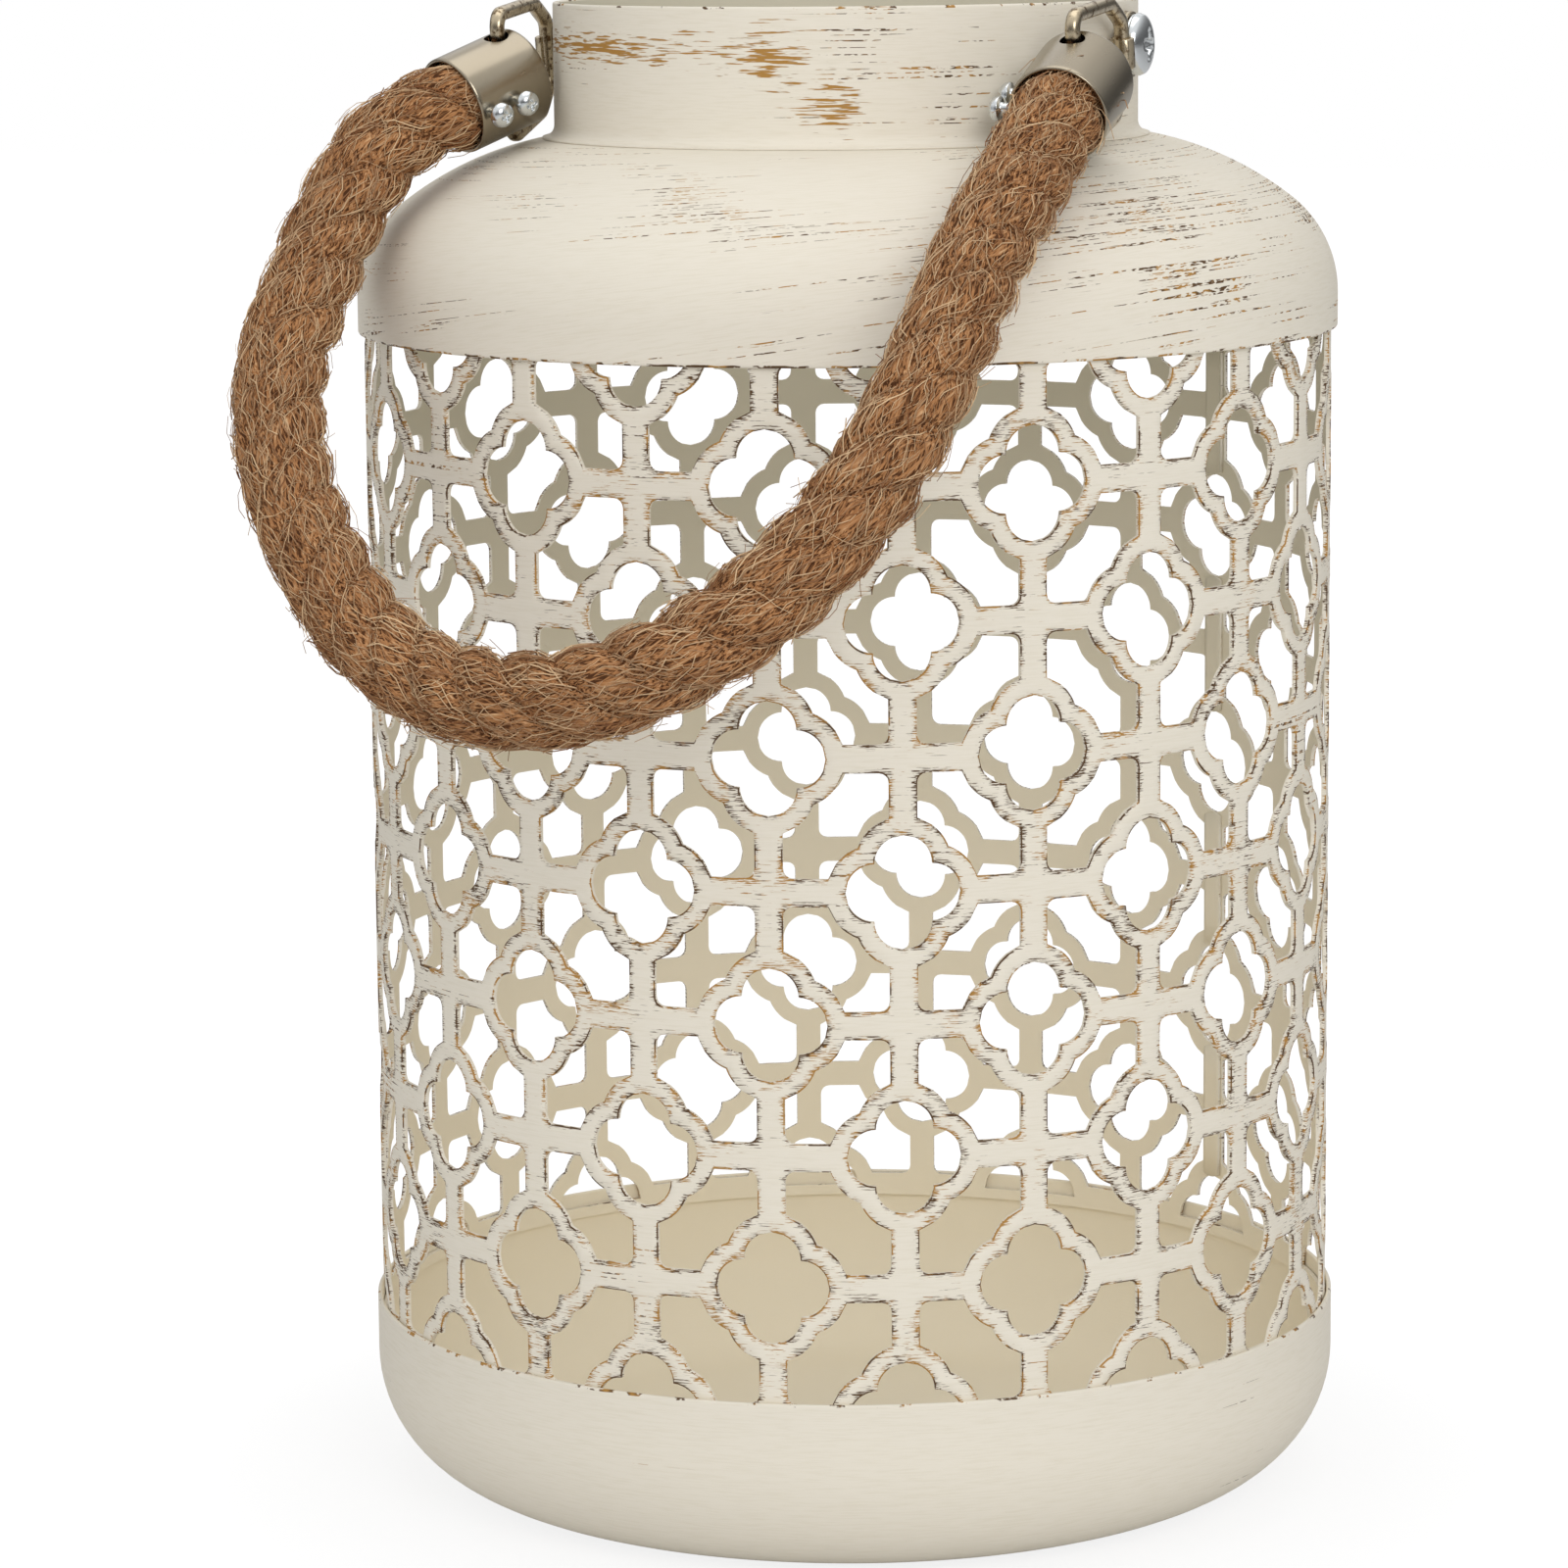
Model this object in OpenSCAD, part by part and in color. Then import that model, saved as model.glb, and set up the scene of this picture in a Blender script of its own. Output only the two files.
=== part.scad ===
// Metal lantern shaped like a milk can, with a pierced quatrefoil wall and a rope handle.
// Origin: centre of the flat underside, +Z up. The handle turns about an axis along X and
// rests on the shoulder at the front, which is -Y.

/* [Wall] */
// Outer diameter of the pierced wall
wall_d = 164; // [150:1:180]
// Height of the base rim above the floor
base_h = 32; // [26:0.5:40]
// Height of the wall that shows between base rim and shoulder rim
window_h = 166.5; // [150:0.5:180]
// Thickness of the sheet metal
sheet = 0.8; // [0.6:0.1:1.2]
// How far the wall reaches into the base and under the shoulder
wall_lap = 4.5; // [3:0.5:5]
// Radial gap between the wall and the rims that hold it
rim_gap = 0.2; // [0.1:0.05:0.4]

/* [Piercing] */
// Quatrefoils in one row round the wall
foils = 12; // [10:1:14]
// Rows of the lattice, counting the two that the rims cover
rows = 9; // [7:2:11]
// Direction of one column of quatrefoils, from the front towards +X, in degrees
pattern_turn = 26.8; // [0:0.1:30]
// How far the openings run on behind the rims
reveal = 1; // [0.5:0.1:2]
// Width of the seam's inner lap
seam_w = 4; // [3:0.5:6]

/* [Base bowl] */
// Radius of the rounded edge of the base
bowl_r = 22; // [16:0.5:25]

/* [Shoulder and neck] */
// Height of the shoulder's straight skirt
skirt_h = 5.6; // [4:0.1:9]
// Radius of the shoulder's side curve
side_r = 20; // [16:0.5:24]
// Radius of the shoulder's crown curve
crown_r = 55; // [45:1:70]
// Angle at which the side curve meets the crown curve, in degrees
blend_angle = 52; // [45:1:60]
// Outer diameter of the neck
neck_d = 98.6; // [90:0.2:104]
// Height of the neck above its crease
neck_h = 22.5; // [18:0.5:30]
// Radius of the fillet that leads up from the shoulder to the neck
foot_r = 2; // [1:0.1:3]
// Height of the turned-up lip inside the neck
lip_h = 5; // [3:0.5:8]
// Gap between the lip and the neck
lip_gap = 0.1; // [0.05:0.05:0.2]

/* [Handle pivots] */
// Depth of the handle pivots below the neck's top edge
pivot_drop = 7.4; // [7:0.1:8]
// Diameter of the pivot screw's shank
screw_d = 4; // [3:0.1:5]
// Diameter of the pivot screw's head
head_d = 10.3; // [8:0.1:12]
// Height of the pivot screw's head
head_h = 2.4; // [2:0.1:3.2]
// Thickness of the washer
washer_t = 0.6; // [0.5:0.1:0.8]
// Width of the nut across its flats
nut_w = 7; // [6:0.5:8]
// Thickness of the nut
nut_t = 3.2; // [2:0.1:4]
// Radial running clearance of the pivots
run_gap = 0.05; // [0.02:0.01:0.1]

/* [Handle rings] */
// Thickness of the folded strap that carries a ring
strap_t = 1.4; // [1.4:0.1:1.8]
// Diameter of the strap's round end
strap_d = 11; // [9:0.5:12]
// Distance from the pivot to the ring's bar
strap_l = 7.6; // [7.6:0.1:10]
// Width of the strap's loop round the bar
loop_w = 5; // [4:0.5:7]
// Diameter of the ring's wire
wire_d = 2.4; // [2:0.1:2.8]
// Length of the ring from its bar to its pins
ring_l = 23; // [22.8:0.1:24]
// Width of the ring between its wire's centres
ring_w = 21.4; // [21.2:0.1:21.8]
// Width of the ring where its slants end, between its wire's centres
ring_waist = 18.6; // [17.6:0.2:20]
// Half the length of the ring's straight bar
bar_half = 5.2; // [5:0.1:6]
// Length of the slanting part of the ring
slant_l = 6; // [5:0.5:8]
// Radius of the ring's bends, at the wire's centre
bend_r = 2.4; // [2:0.1:3]
// Slope of straps and rings below level at rest, in degrees
ring_slope = 9; // [7:0.5:10]
// Angle by which the left ring leans outwards at rest, in degrees; below 0 it leans inwards
left_ring_lean = -5; // [-5:0.5:5]
// Angle by which the right ring leans outwards at rest, in degrees
right_ring_lean = 0; // [0:0.5:5]
// Slope of the line through a ring's pins, away from upright, in degrees
pin_slope = 20; // [18:0.5:21]

/* [Ferrules] */
// Outer diameter of a ferrule
ferrule_d = 16.6; // [16.2:0.1:16.8]
// Length of a ferrule
ferrule_l = 15; // [14:0.5:16]
// Thickness of a ferrule's wall
ferrule_t = 0.6; // [0.4:0.1:1]
// Distance from a ferrule's closed end to the ring's pins
pin_inset = 3.8; // [3.6:0.1:5]
// Diameter of the loose holes for the ring's pins
pin_hole_d = 4.2; // [4:0.1:4.6]
// How far a pin reaches inside the ferrule's wall
pin_reach = 2.4; // [1.5:0.1:3]
// How far the ferrules hang below the middle of their rings
ferrule_hang = 0.9; // [0.6:0.1:1]
// Slope of the ferrules below level at rest, in degrees
ferrule_slope = 22; // [20:0.5:22.5]
// Angle by which the left ferrule leans outwards, in degrees
left_lean = 29; // [20:1:30]
// Angle by which the right ferrule leans outwards, in degrees
right_lean = 0; // [0:1:5]
// Diameter of the small screws' shanks
tack_d = 2.2; // [1.8:0.1:2.6]
// Diameter of the small screws' heads
tack_head_d = 4.2; // [3.6:0.1:5]
// Height of the small screws' heads
tack_head_h = 1.9; // [1.2:0.1:2.2]
// How far the small screws' heads stand off the ferrule
tack_stand = 2; // [0.2:0.1:2]
// Distances of the small screws from the ferrule's closed end
tack_at = [7.4, 12.8];

/* [Rope] */
// Diameter of the rope
rope_d = 15; // [13:0.5:15.4]
// Distance from a ferrule's closed end to the rope's end
rope_inset = 6.2; // [6:0.1:9]

/* [Hidden] */
$fn = 96;

cream = [0.91, 0.88, 0.81];
nickel = [0.66, 0.62, 0.56];
zinc = [0.78, 0.80, 0.81];
jute = [0.63, 0.45, 0.29];

// One overrun serves all cuts
over = 1;
left = -1;
right = 1;

// Heights and radii of the shell
wall_r = wall_d / 2;
rim_r = wall_r + rim_gap + sheet;
shoulder_z = base_h + window_h;
wall_low = base_h - wall_lap;
wall_top = shoulder_z + wall_lap;
skirt_z = shoulder_z + skirt_h;
neck_r = neck_d / 2;
side_c = [rim_r - side_r, skirt_z];
crown_c = side_c - (crown_r - side_r) * [cos(blend_angle), sin(blend_angle)];
crease_z = crown_z(neck_r);
foot = neck_r + foot_r;
seat_z = crown_z(foot) + foot_r;
top_z = crease_z + neck_h;
pivot_z = top_z - pivot_drop;

// Lattice: one step is half the distance between quatrefoils, alike both ways
step = PI * wall_d / (2 * foils);
step_a = 180 / foils;
mid_z = base_h + window_h / 2;
window_low = base_h - reveal;
window_top = shoulder_z + reveal;
seam_column = 8;

// Shape of the lattice, as shares of a step
lobe_off_share = 0.213;
foil_share = 0.217;
band_share = 0.36;
bar_share = 0.21;
corner_share = 0.06;

// Handle places
strap_x = neck_r + 0.3 * sheet;
loop_r = wire_d / 2 + run_gap + sheet;
bar_x = strap_x + loop_r;
washer_x = strap_x + strap_t + 0.1 * sheet;
head_x = washer_x + washer_t + run_gap;
inner_x = neck_r - sheet;
pin_end = ferrule_d / 2 - ferrule_t - pin_reach;
bend_swell = 0.02;
wire_lap = 0.05;
nut_x = inner_x - 0.5 * sheet;
screw_end = nut_x - nut_t - sheet;
recess_share = 0.46;
slot_share = 0.11;
slot_depth_share = 0.55;

// The rope's route between the ferrules, from left to right, chosen by hand, with each
// height taken from the neck's top
route = [
    [-60.7, -47, -20], [-64.5, -53.5, -26.2], [-66.5, -61, -35.4], [-67, -68.5, -43.5],
    [-67.5, -76.5, -51.5], [-66, -83.5, -59.5], [-63, -90, -67.5], [-58, -96.5, -75],
    [-52, -102, -82], [-45, -107.5, -88.5], [-37.5, -113, -94.5], [-28.5, -117.5, -99],
    [-19, -121.5, -102], [-8.5, -125, -102.5], [2, -127, -101.5], [12.5, -127.5, -98.5],
    [22, -127, -94], [31, -124.5, -88], [38.5, -120.5, -81], [44.5, -115.5, -73],
    [48.5, -109.5, -65], [50.5, -102.5, -57], [52, -95, -49], [52.5, -87, -42],
    [52.5, -78, -35.5], [53, -69, -30], [52.8, -59.5, -25.6], [52.3, -50, -21.2]
];
rope_sides = 12;
// A direction square to the loop of the rope, from which its rings are turned
loop_normal = [0, -0.66, 0.75];

function crown_z(r) = crown_c[1] + sqrt(pow(crown_r, 2) - pow(r - crown_c[0], 2));
function arc(c, r, from, to, n = 12) = [for (i = [0:n]) let (a = from + (to - from) * i / n) c + r * [cos(a), sin(a)]];
function turn_x(p, a) = [p[0], p[1] * cos(a) - p[2] * sin(a), p[1] * sin(a) + p[2] * cos(a)];
function turn_z(p, a) = [p[0] * cos(a) - p[1] * sin(a), p[0] * sin(a) + p[1] * cos(a), p[2]];
function unit(v) = v / norm(v);

// Where a ring's pins lie, and a point on a ferrule's axis at a distance from its closed end
function pins(side) = [0, 0, pivot_z]
    + turn_x([side * bar_x, -strap_l, 0] + turn_z([0, -ring_l, 0], side * ring_lean(side)), ring_slope);
function lean(side) = side == left ? -left_lean : right_lean;
function ring_lean(side) = side == left ? left_ring_lean : right_ring_lean;
function on_ferrule(side, s) = pins(side) + turn_x([0, 0, -ferrule_hang], ring_slope)
    + turn_x(turn_z([0, pin_inset - s, 0], lean(side)), ferrule_slope);

// Puts a +X piece on the given side
module on_side(side) {
    mirror([side == left ? 1 : 0, 0, 0]) children();
}

// Frame of a strap: its pivot on the axis, -Y along the strap, Z along the ring's bar
module strap_frame() {
    translate([0, 0, pivot_z]) rotate([ring_slope, 0, 0]) children();
}

// Frame of a ferrule: origin at its closed end, -Z along it towards the mouth, Y up, X to the left
module ferrule_frame(side) {
    translate(on_ferrule(side, 0)) rotate([ferrule_slope, 0, 0]) rotate([0, 0, lean(side)])
        rotate([-90, 0, 0]) rotate([0, 0, 180]) children();
}

// Outline of one quatrefoil opening
module foil_2d() {
    for (a = [0:90:270]) rotate(a) translate([lobe_off_share * step, 0]) circle(r = foil_share * step);
}

// Outline of the opening between two rings and two crossings, in the lower left quarter of which
// one ring lies; its centre is half a step right of and above that ring
module gap_2d() {
    low = bar_share * step / 2;
    high = step - low;
    c = corner_share * step;
    translate([-step / 2, -step / 2]) difference() {
        polygon([
            [low, low], [high - c, low], [high, low + c],
            [high, high], [low + c, high], [low, high - c]
        ]);
        for (at = [0, step], off = [[1, 0], [0, 1]]) {
            toward = at == 0 ? 1 : -1;
            translate([at, at] + toward * lobe_off_share * step * off) circle(r = band_share * step);
        }
    }
}

// Keeps an outline centred at height z inside the open window
module clipped(z) {
    intersection() {
        children();
        translate([-step, window_low - z]) square([2 * step, window_top - window_low]);
    }
}

// Cuts an outline through the wall, at an angle round it and a height
module pierce(a, z) {
    rotate([0, 0, a]) translate([wall_r - 2 * sheet - over, 0, z]) rotate([90, 0, 90])
        linear_extrude(2 * (sheet + over)) children();
}

module base_bowl() {
    floor_r = rim_r - bowl_r;
    color(cream) rotate_extrude() polygon(concat(
        [[0, 0]], arc([floor_r, bowl_r], bowl_r, -90, 0), [[rim_r, base_h], [rim_r - sheet, base_h]],
        arc([floor_r, bowl_r], bowl_r - sheet, 0, -90), [[0, sheet]]
    ));
}

module pierced_wall() {
    column_a = pattern_turn - 90;
    low_row_z = mid_z - step * (rows - 1) / 2;
    color(cream) difference() {
        union() {
            translate([0, 0, wall_low]) difference() {
                cylinder(r = wall_r, h = wall_top - wall_low);
                translate([0, 0, -over]) cylinder(r = wall_r - sheet, h = wall_top - wall_low + 2 * over);
            }
            // Inner lap of the seam, on one column of bars
            rotate([0, 0, column_a + seam_column * step_a])
                translate([wall_r - 2 * sheet, -seam_w / 2, wall_low]) cube([1.5 * sheet, seam_w, wall_top - wall_low]);
        }
        for (column = [0:2 * foils - 1], row = [0:rows - 1]) {
            z = low_row_z + row * step;
            if ((column + row) % 2 == 0)
                pierce(column_a + column * step_a, z) clipped(z) foil_2d();
            if (row < rows - 1)
                pierce(column_a + (column + 0.5) * step_a, z + step / 2) clipped(z + step / 2)
                    mirror([(column + row) % 2, 0]) gap_2d();
        }
    }
}

module shoulder_cap() {
    lip_r = neck_r - sheet - lip_gap;
    foot_a = acos((foot - crown_c[0]) / crown_r);
    inner_a = acos((lip_r - sheet - crown_c[0]) / (crown_r - sheet));
    color(cream) rotate_extrude() polygon(concat(
        [[rim_r - sheet, shoulder_z], [rim_r, shoulder_z]],
        arc(side_c, side_r, 0, blend_angle), arc(crown_c, crown_r, blend_angle, foot_a),
        arc([foot, seat_z], foot_r, -90, -180, 6),
        [[lip_r, seat_z], [lip_r, crease_z + lip_h], [lip_r - sheet, crease_z + lip_h]],
        arc(crown_c, crown_r - sheet, inner_a, blend_angle), arc(side_c, side_r - sheet, blend_angle, 0)
    ));
}

module neck_collar() {
    soft = sheet / 4;
    color(cream) difference() {
        rotate_extrude() polygon(concat(
            [[neck_r - sheet, seat_z], [neck_r, seat_z]],
            arc([neck_r - soft, top_z - soft], soft, 0, 90, 3),
            arc([neck_r - sheet + soft, top_z - soft], soft, 90, 180, 3)
        ));
        for (side = [left, right])
            on_side(side) translate([inner_x - over, 0, pivot_z]) rotate([0, 90, 0])
                cylinder(d = screw_d + 4 * run_gap, h = sheet + 2 * over);
    }
}

// A pan-head screw with a cross recess: its head sits on z = 0 and its shank points to -Z
module screw(shank_d, length, cap_d, cap_h) {
    cap_r = cap_d / 2;
    rise = 0.7 * cap_h;
    dome_r = (pow(cap_r, 2) + pow(rise, 2)) / (2 * rise);
    start = asin(cap_r / dome_r);
    difference() {
        union() {
            translate([0, 0, -length]) cylinder(d = shank_d, h = length);
            rotate_extrude() polygon(concat([[0, 0], [cap_r, 0]], arc([0, cap_h - dome_r], dome_r, 90 - start, 90, 8)));
        }
        for (a = [0, 90]) rotate(a)
            translate([-recess_share * cap_r, -slot_share * cap_r, cap_h * (1 - slot_depth_share)])
                cube([2 * recess_share * cap_r, 2 * slot_share * cap_r, cap_h]);
    }
}

module pivot_screw(side) {
    color(zinc) on_side(side) translate([head_x, 0, pivot_z]) rotate([0, 90, 0])
        screw(screw_d, head_x - screw_end, head_d, head_h);
}

module pivot_washer(side) {
    color(zinc) on_side(side) translate([washer_x, 0, pivot_z]) rotate([0, 90, 0]) difference() {
        cylinder(d = 0.97 * head_d, h = washer_t);
        translate([0, 0, -over]) cylinder(d = screw_d + 4 * run_gap, h = washer_t + 2 * over);
    }
}

module pivot_nut(side) {
    color(zinc) on_side(side) translate([nut_x - nut_t, 0, pivot_z]) rotate([0, 90, 0]) difference() {
        cylinder(d = nut_w / cos(30), h = nut_t, $fn = 6);
        translate([0, 0, -over]) cylinder(d = screw_d + run_gap, h = nut_t + 2 * over);
    }
}

module hinge_strap(side) {
    color(nickel) on_side(side) strap_frame() difference() {
        union() {
            translate([strap_x, 0, 0]) rotate([0, 90, 0]) cylinder(d = strap_d, h = strap_t);
            translate([strap_x, -strap_l, -loop_w / 2]) cube([strap_t, strap_l, loop_w]);
            translate([bar_x, -strap_l, -loop_w / 2]) cylinder(r = loop_r, h = loop_w);
        }
        translate([strap_x - over, 0, 0]) rotate([0, 90, 0]) cylinder(d = screw_d + 2 * run_gap, h = strap_t + 2 * over);
        translate([bar_x, -strap_l, -loop_w / 2 - over]) cylinder(d = wire_d + 2 * run_gap, h = loop_w + 2 * over);
    }
}

// A wire that starts at the origin along +Z: each move is a bend towards +X by an angle and
// then a straight length. The bends are a hair thicker, so that each straight ends inside them
module bent_wire(moves, i = 0) {
    if (i < len(moves)) {
        angle = moves[i][0];
        length = moves[i][1];
        translate([bend_r, 0, 0]) rotate([-90, 0, 0]) rotate([0, 0, 180])
            rotate_extrude(angle = angle) translate([bend_r, 0]) circle(d = wire_d + bend_swell);
        translate([bend_r * (1 - cos(angle)), 0, bend_r * sin(angle)]) rotate([0, angle, 0]) {
            translate([0, 0, -wire_lap]) cylinder(d = wire_d, h = length + 2 * wire_lap);
            translate([0, 0, length]) bent_wire(moves, i + 1);
        }
    }
}

// Corners of one half of a ring, as distances along it and up from its middle. The upper half,
// for which up is 1, is longer than the lower one, so that its pins slope with the ferrule
function ring_corners(up) = let (half = ring_w / 2, shift = up * tan(pin_slope - ring_slope)) [
    [0, 0], [0, bar_half], [slant_l, ring_waist / 2], [ring_l + half * shift, half],
    [ring_l + pin_end * shift, pin_end]
];

// The bends and straight lengths of a wire that passes corners, the first of them straight ahead
function wire_moves(corners) = let (
    n = len(corners) - 1,
    ways = [for (i = [0:n - 1]) let (d = corners[i + 1] - corners[i]) (atan2(d[0], d[1]) + 360) % 360],
    cuts = [0, for (i = [1:n - 1]) bend_r * tan((ways[i] - ways[i - 1]) / 2), wire_lap]
) [for (i = [1:n - 1]) [ways[i] - ways[i - 1], norm(corners[i + 1] - corners[i]) - cuts[i] - cuts[i + 1]]];

module handle_ring(side) {
    bar_l = bar_half - bend_r * tan(wire_moves(ring_corners(1))[0][0] / 2);
    color(nickel) on_side(side) strap_frame() translate([bar_x, -strap_l, 0]) rotate([0, 0, ring_lean(side) - 90]) {
        translate([0, 0, -bar_l - wire_lap]) cylinder(d = wire_d, h = 2 * (bar_l + wire_lap));
        for (up = [1, -1]) mirror([0, 0, up < 0 ? 1 : 0]) translate([0, 0, bar_l])
            bent_wire(wire_moves(ring_corners(up)));
    }
}

// Frame of a small screw: its head points away from the ferrule, to the inner side of the loop
module tack_frame(side, s) {
    ferrule_frame(side) translate([side * ferrule_d / 2, 0, -s]) rotate([0, side * 90, 0]) children();
}

module ferrule(side) {
    inner_r = ferrule_d / 2 - ferrule_t;
    color(nickel) difference() {
        ferrule_frame(side) difference() {
            translate([0, 0, -ferrule_l]) cylinder(d = ferrule_d, h = ferrule_l);
            translate([0, 0, -ferrule_l - over]) cylinder(r = inner_r, h = ferrule_l + over - ferrule_t);
            translate([0, ferrule_d, -pin_inset]) rotate([90, 0, 0]) cylinder(d = pin_hole_d, h = 2 * ferrule_d);
        }
        for (s = tack_at)
            tack_frame(side, s) translate([0, 0, -2 * ferrule_t]) cylinder(d = tack_d + 2 * run_gap, h = 4 * ferrule_t);
    }
}

module ferrule_screw(side, s) {
    color(zinc) tack_frame(side, s) translate([0, 0, tack_stand])
        screw(tack_d, tack_stand + rope_d / 3, tack_head_d, tack_head_h);
}

// The rope's centre line, from inside one ferrule to inside the other
path = concat(
    [on_ferrule(left, rope_inset), on_ferrule(left, ferrule_l)], [for (p = route) p + [0, 0, top_z]],
    [on_ferrule(right, ferrule_l), on_ferrule(right, rope_inset)]
);

function rope_ring(i, last = len(path) - 1) =
    let (along = unit(path[min(i + 1, last)] - path[max(i - 1, 0)]),
         across = unit(cross(along, loop_normal)), up = cross(across, along))
    [for (k = [0:rope_sides - 1]) let (a = 360 * k / rope_sides)
        path[i] + rope_d / 2 * (cos(a) * across + sin(a) * up)];

module rope() {
    n = rope_sides;
    last = len(path) - 1;
    skin = [for (i = [0:last - 1], k = [0:n - 1], half = [0, 1])
        let (a = i * n + k, b = i * n + (k + 1) % n)
        half == 0 ? [a, a + n, b] : [b, a + n, b + n]];
    ends = [for (k = [1:n - 2]) each [[0, k, k + 1], [last * n, last * n + k + 1, last * n + k]]];
    color(jute) polyhedron(points = [for (i = [0:last]) each rope_ring(i)], faces = concat(skin, ends));
}

base_bowl();
pierced_wall();
shoulder_cap();
neck_collar();
pivot_screw(left);  // pivot_screw_left
pivot_screw(right);  // pivot_screw_right
pivot_washer(left);  // pivot_washer_left
pivot_washer(right);  // pivot_washer_right
pivot_nut(left);  // pivot_nut_left
pivot_nut(right);  // pivot_nut_right
hinge_strap(left);  // hinge_strap_left
hinge_strap(right);  // hinge_strap_right
handle_ring(left);  // handle_ring_left
handle_ring(right);  // handle_ring_right
ferrule(left);  // ferrule_left
ferrule(right);  // ferrule_right
ferrule_screw(left, tack_at[0]);  // ferrule_screw_left_back
ferrule_screw(left, tack_at[1]);  // ferrule_screw_left_front
ferrule_screw(right, tack_at[0]);  // ferrule_screw_right_back
ferrule_screw(right, tack_at[1]);  // ferrule_screw_right_front
rope();
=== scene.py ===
"""Looks of a pierced metal lantern with a rope handle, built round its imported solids.

Every length in a class is in millimetres, as on a maker's drawing, and is turned into metres
where a mesh is made. The frame's origin is the middle of the flat underside, +Z is up, and the
handle rests on the shoulder at the front, which is -Y.
"""

from __future__ import annotations

import logging
import math
from dataclasses import dataclass, field
from enum import Enum
from typing import Callable, Iterable, Sequence

import bmesh
import bpy
from mathutils import Matrix, Vector

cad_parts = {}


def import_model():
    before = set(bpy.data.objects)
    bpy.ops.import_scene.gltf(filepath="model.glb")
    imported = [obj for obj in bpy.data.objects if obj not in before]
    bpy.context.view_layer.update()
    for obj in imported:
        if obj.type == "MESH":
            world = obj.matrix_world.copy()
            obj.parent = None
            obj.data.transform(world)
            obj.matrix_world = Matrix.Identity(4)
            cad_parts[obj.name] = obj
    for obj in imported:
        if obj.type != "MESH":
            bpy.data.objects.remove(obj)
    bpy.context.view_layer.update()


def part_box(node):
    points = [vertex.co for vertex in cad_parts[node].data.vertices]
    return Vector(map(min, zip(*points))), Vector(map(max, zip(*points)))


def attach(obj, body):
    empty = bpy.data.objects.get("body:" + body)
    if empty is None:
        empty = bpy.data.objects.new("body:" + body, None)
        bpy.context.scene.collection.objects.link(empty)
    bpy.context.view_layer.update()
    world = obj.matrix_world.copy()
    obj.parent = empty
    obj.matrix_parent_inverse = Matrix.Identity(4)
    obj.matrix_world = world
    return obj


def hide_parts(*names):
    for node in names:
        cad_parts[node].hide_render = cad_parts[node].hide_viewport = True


LOG = logging.getLogger("lantern")
MM = 0.001

# Values that meshes carry: the wear weight is 1 at worn edges, and on the strands where they lie
# outermost; there its low values mark the grooves that get painted shade
WEAR_AND_GROOVE_SHADE = "wear"
ALONG = "along"
ROUND = "round"
TINT = "tint"

Point = tuple[float, float, float]
Place = tuple[float, float]
Move = Callable[[Vector], Vector]


class Side(Enum):
    """The two sides of the handle, seen from the front."""

    LEFT = -1
    RIGHT = 1

    @property
    def word(self) -> str:
        """The side's name as the nodes spell it."""
        return self.name.lower()


class Body(Enum):
    """The bodies that a piece can ride on."""

    SHELL = "body"
    STRAPS = "straps"
    RING_LEFT = "ring_left"
    RING_RIGHT = "ring_right"
    HANDLE = "handle"


class Slot(Enum):
    """The record's material slots."""

    PAINT = "cream_paint"
    NICKEL = "nickel"
    ZINC = "zinc"
    JUTE = "jute"


# Mesh making


def new_object(name: str, data: bpy.types.ID) -> bpy.types.Object:
    """Makes an object from its data and links it to the scene."""
    made = bpy.data.objects.new(name, data)
    bpy.context.scene.collection.objects.link(made)
    return made


@dataclass
class Draft:
    """Points, faces and wear weights of one piece, gathered before its mesh is made."""

    points: list[Point] = field(default_factory=list)
    faces: list[tuple[int, ...]] = field(default_factory=list)
    wear: list[float] = field(default_factory=list)

    def add(self, point: Sequence[float], wear: float = 0.0) -> int:
        """Adds a point and returns its index."""
        self.points.append((point[0], point[1], point[2]))
        self.wear.append(wear)
        return len(self.points) - 1

    def bridge(self, first: Sequence[int], second: Sequence[int], closed: bool) -> None:
        """Joins two rows of as many points with quads.

        Args:
            first: indices of one row.
            second: indices of the other row.
            closed: whether each row comes back to its start.
        """
        count = len(first)
        for i in range(count if closed else count - 1):
            j = (i + 1) % count
            self.faces.append((first[i], first[j], second[j], second[i]))

    def loft(self, rows: Sequence[Sequence[int]], closed: bool) -> None:
        """Joins each row of points with the next one."""
        for first, second in zip(rows, rows[1:]):
            self.bridge(first, second, closed)

    def cap(self, rows: Sequence[Sequence[int]]) -> None:
        """Closes both ends of a loft with flat faces."""
        self.faces += [tuple(rows[0]), tuple(reversed(rows[-1]))]

    def mesh(self, name: str, merge: float = 0.0, scale: float = MM) -> bpy.types.Object:
        """Makes the object.

        Args:
            name: the piece's name.
            merge: distance within which points become one, in the draft's unit.
            scale: metres in one unit of the draft.

        Returns:
            The new object, linked to the scene, with its faces pointing outwards.
        """
        data = bpy.data.meshes.new(name)
        data.from_pydata([[c * scale for c in p] for p in self.points], [], self.faces)
        weights = data.attributes.new(WEAR_AND_GROOVE_SHADE, "FLOAT", "POINT")
        weights.data.foreach_set("value", self.wear)
        work = bmesh.new()
        work.from_mesh(data)
        if merge > 0:
            bmesh.ops.remove_doubles(work, verts=work.verts, dist=merge * scale)
        bmesh.ops.recalc_face_normals(work, faces=work.faces)
        for face in work.faces:
            face.smooth = True
        work.to_mesh(data)
        work.free()
        return new_object(name, data)


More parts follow.
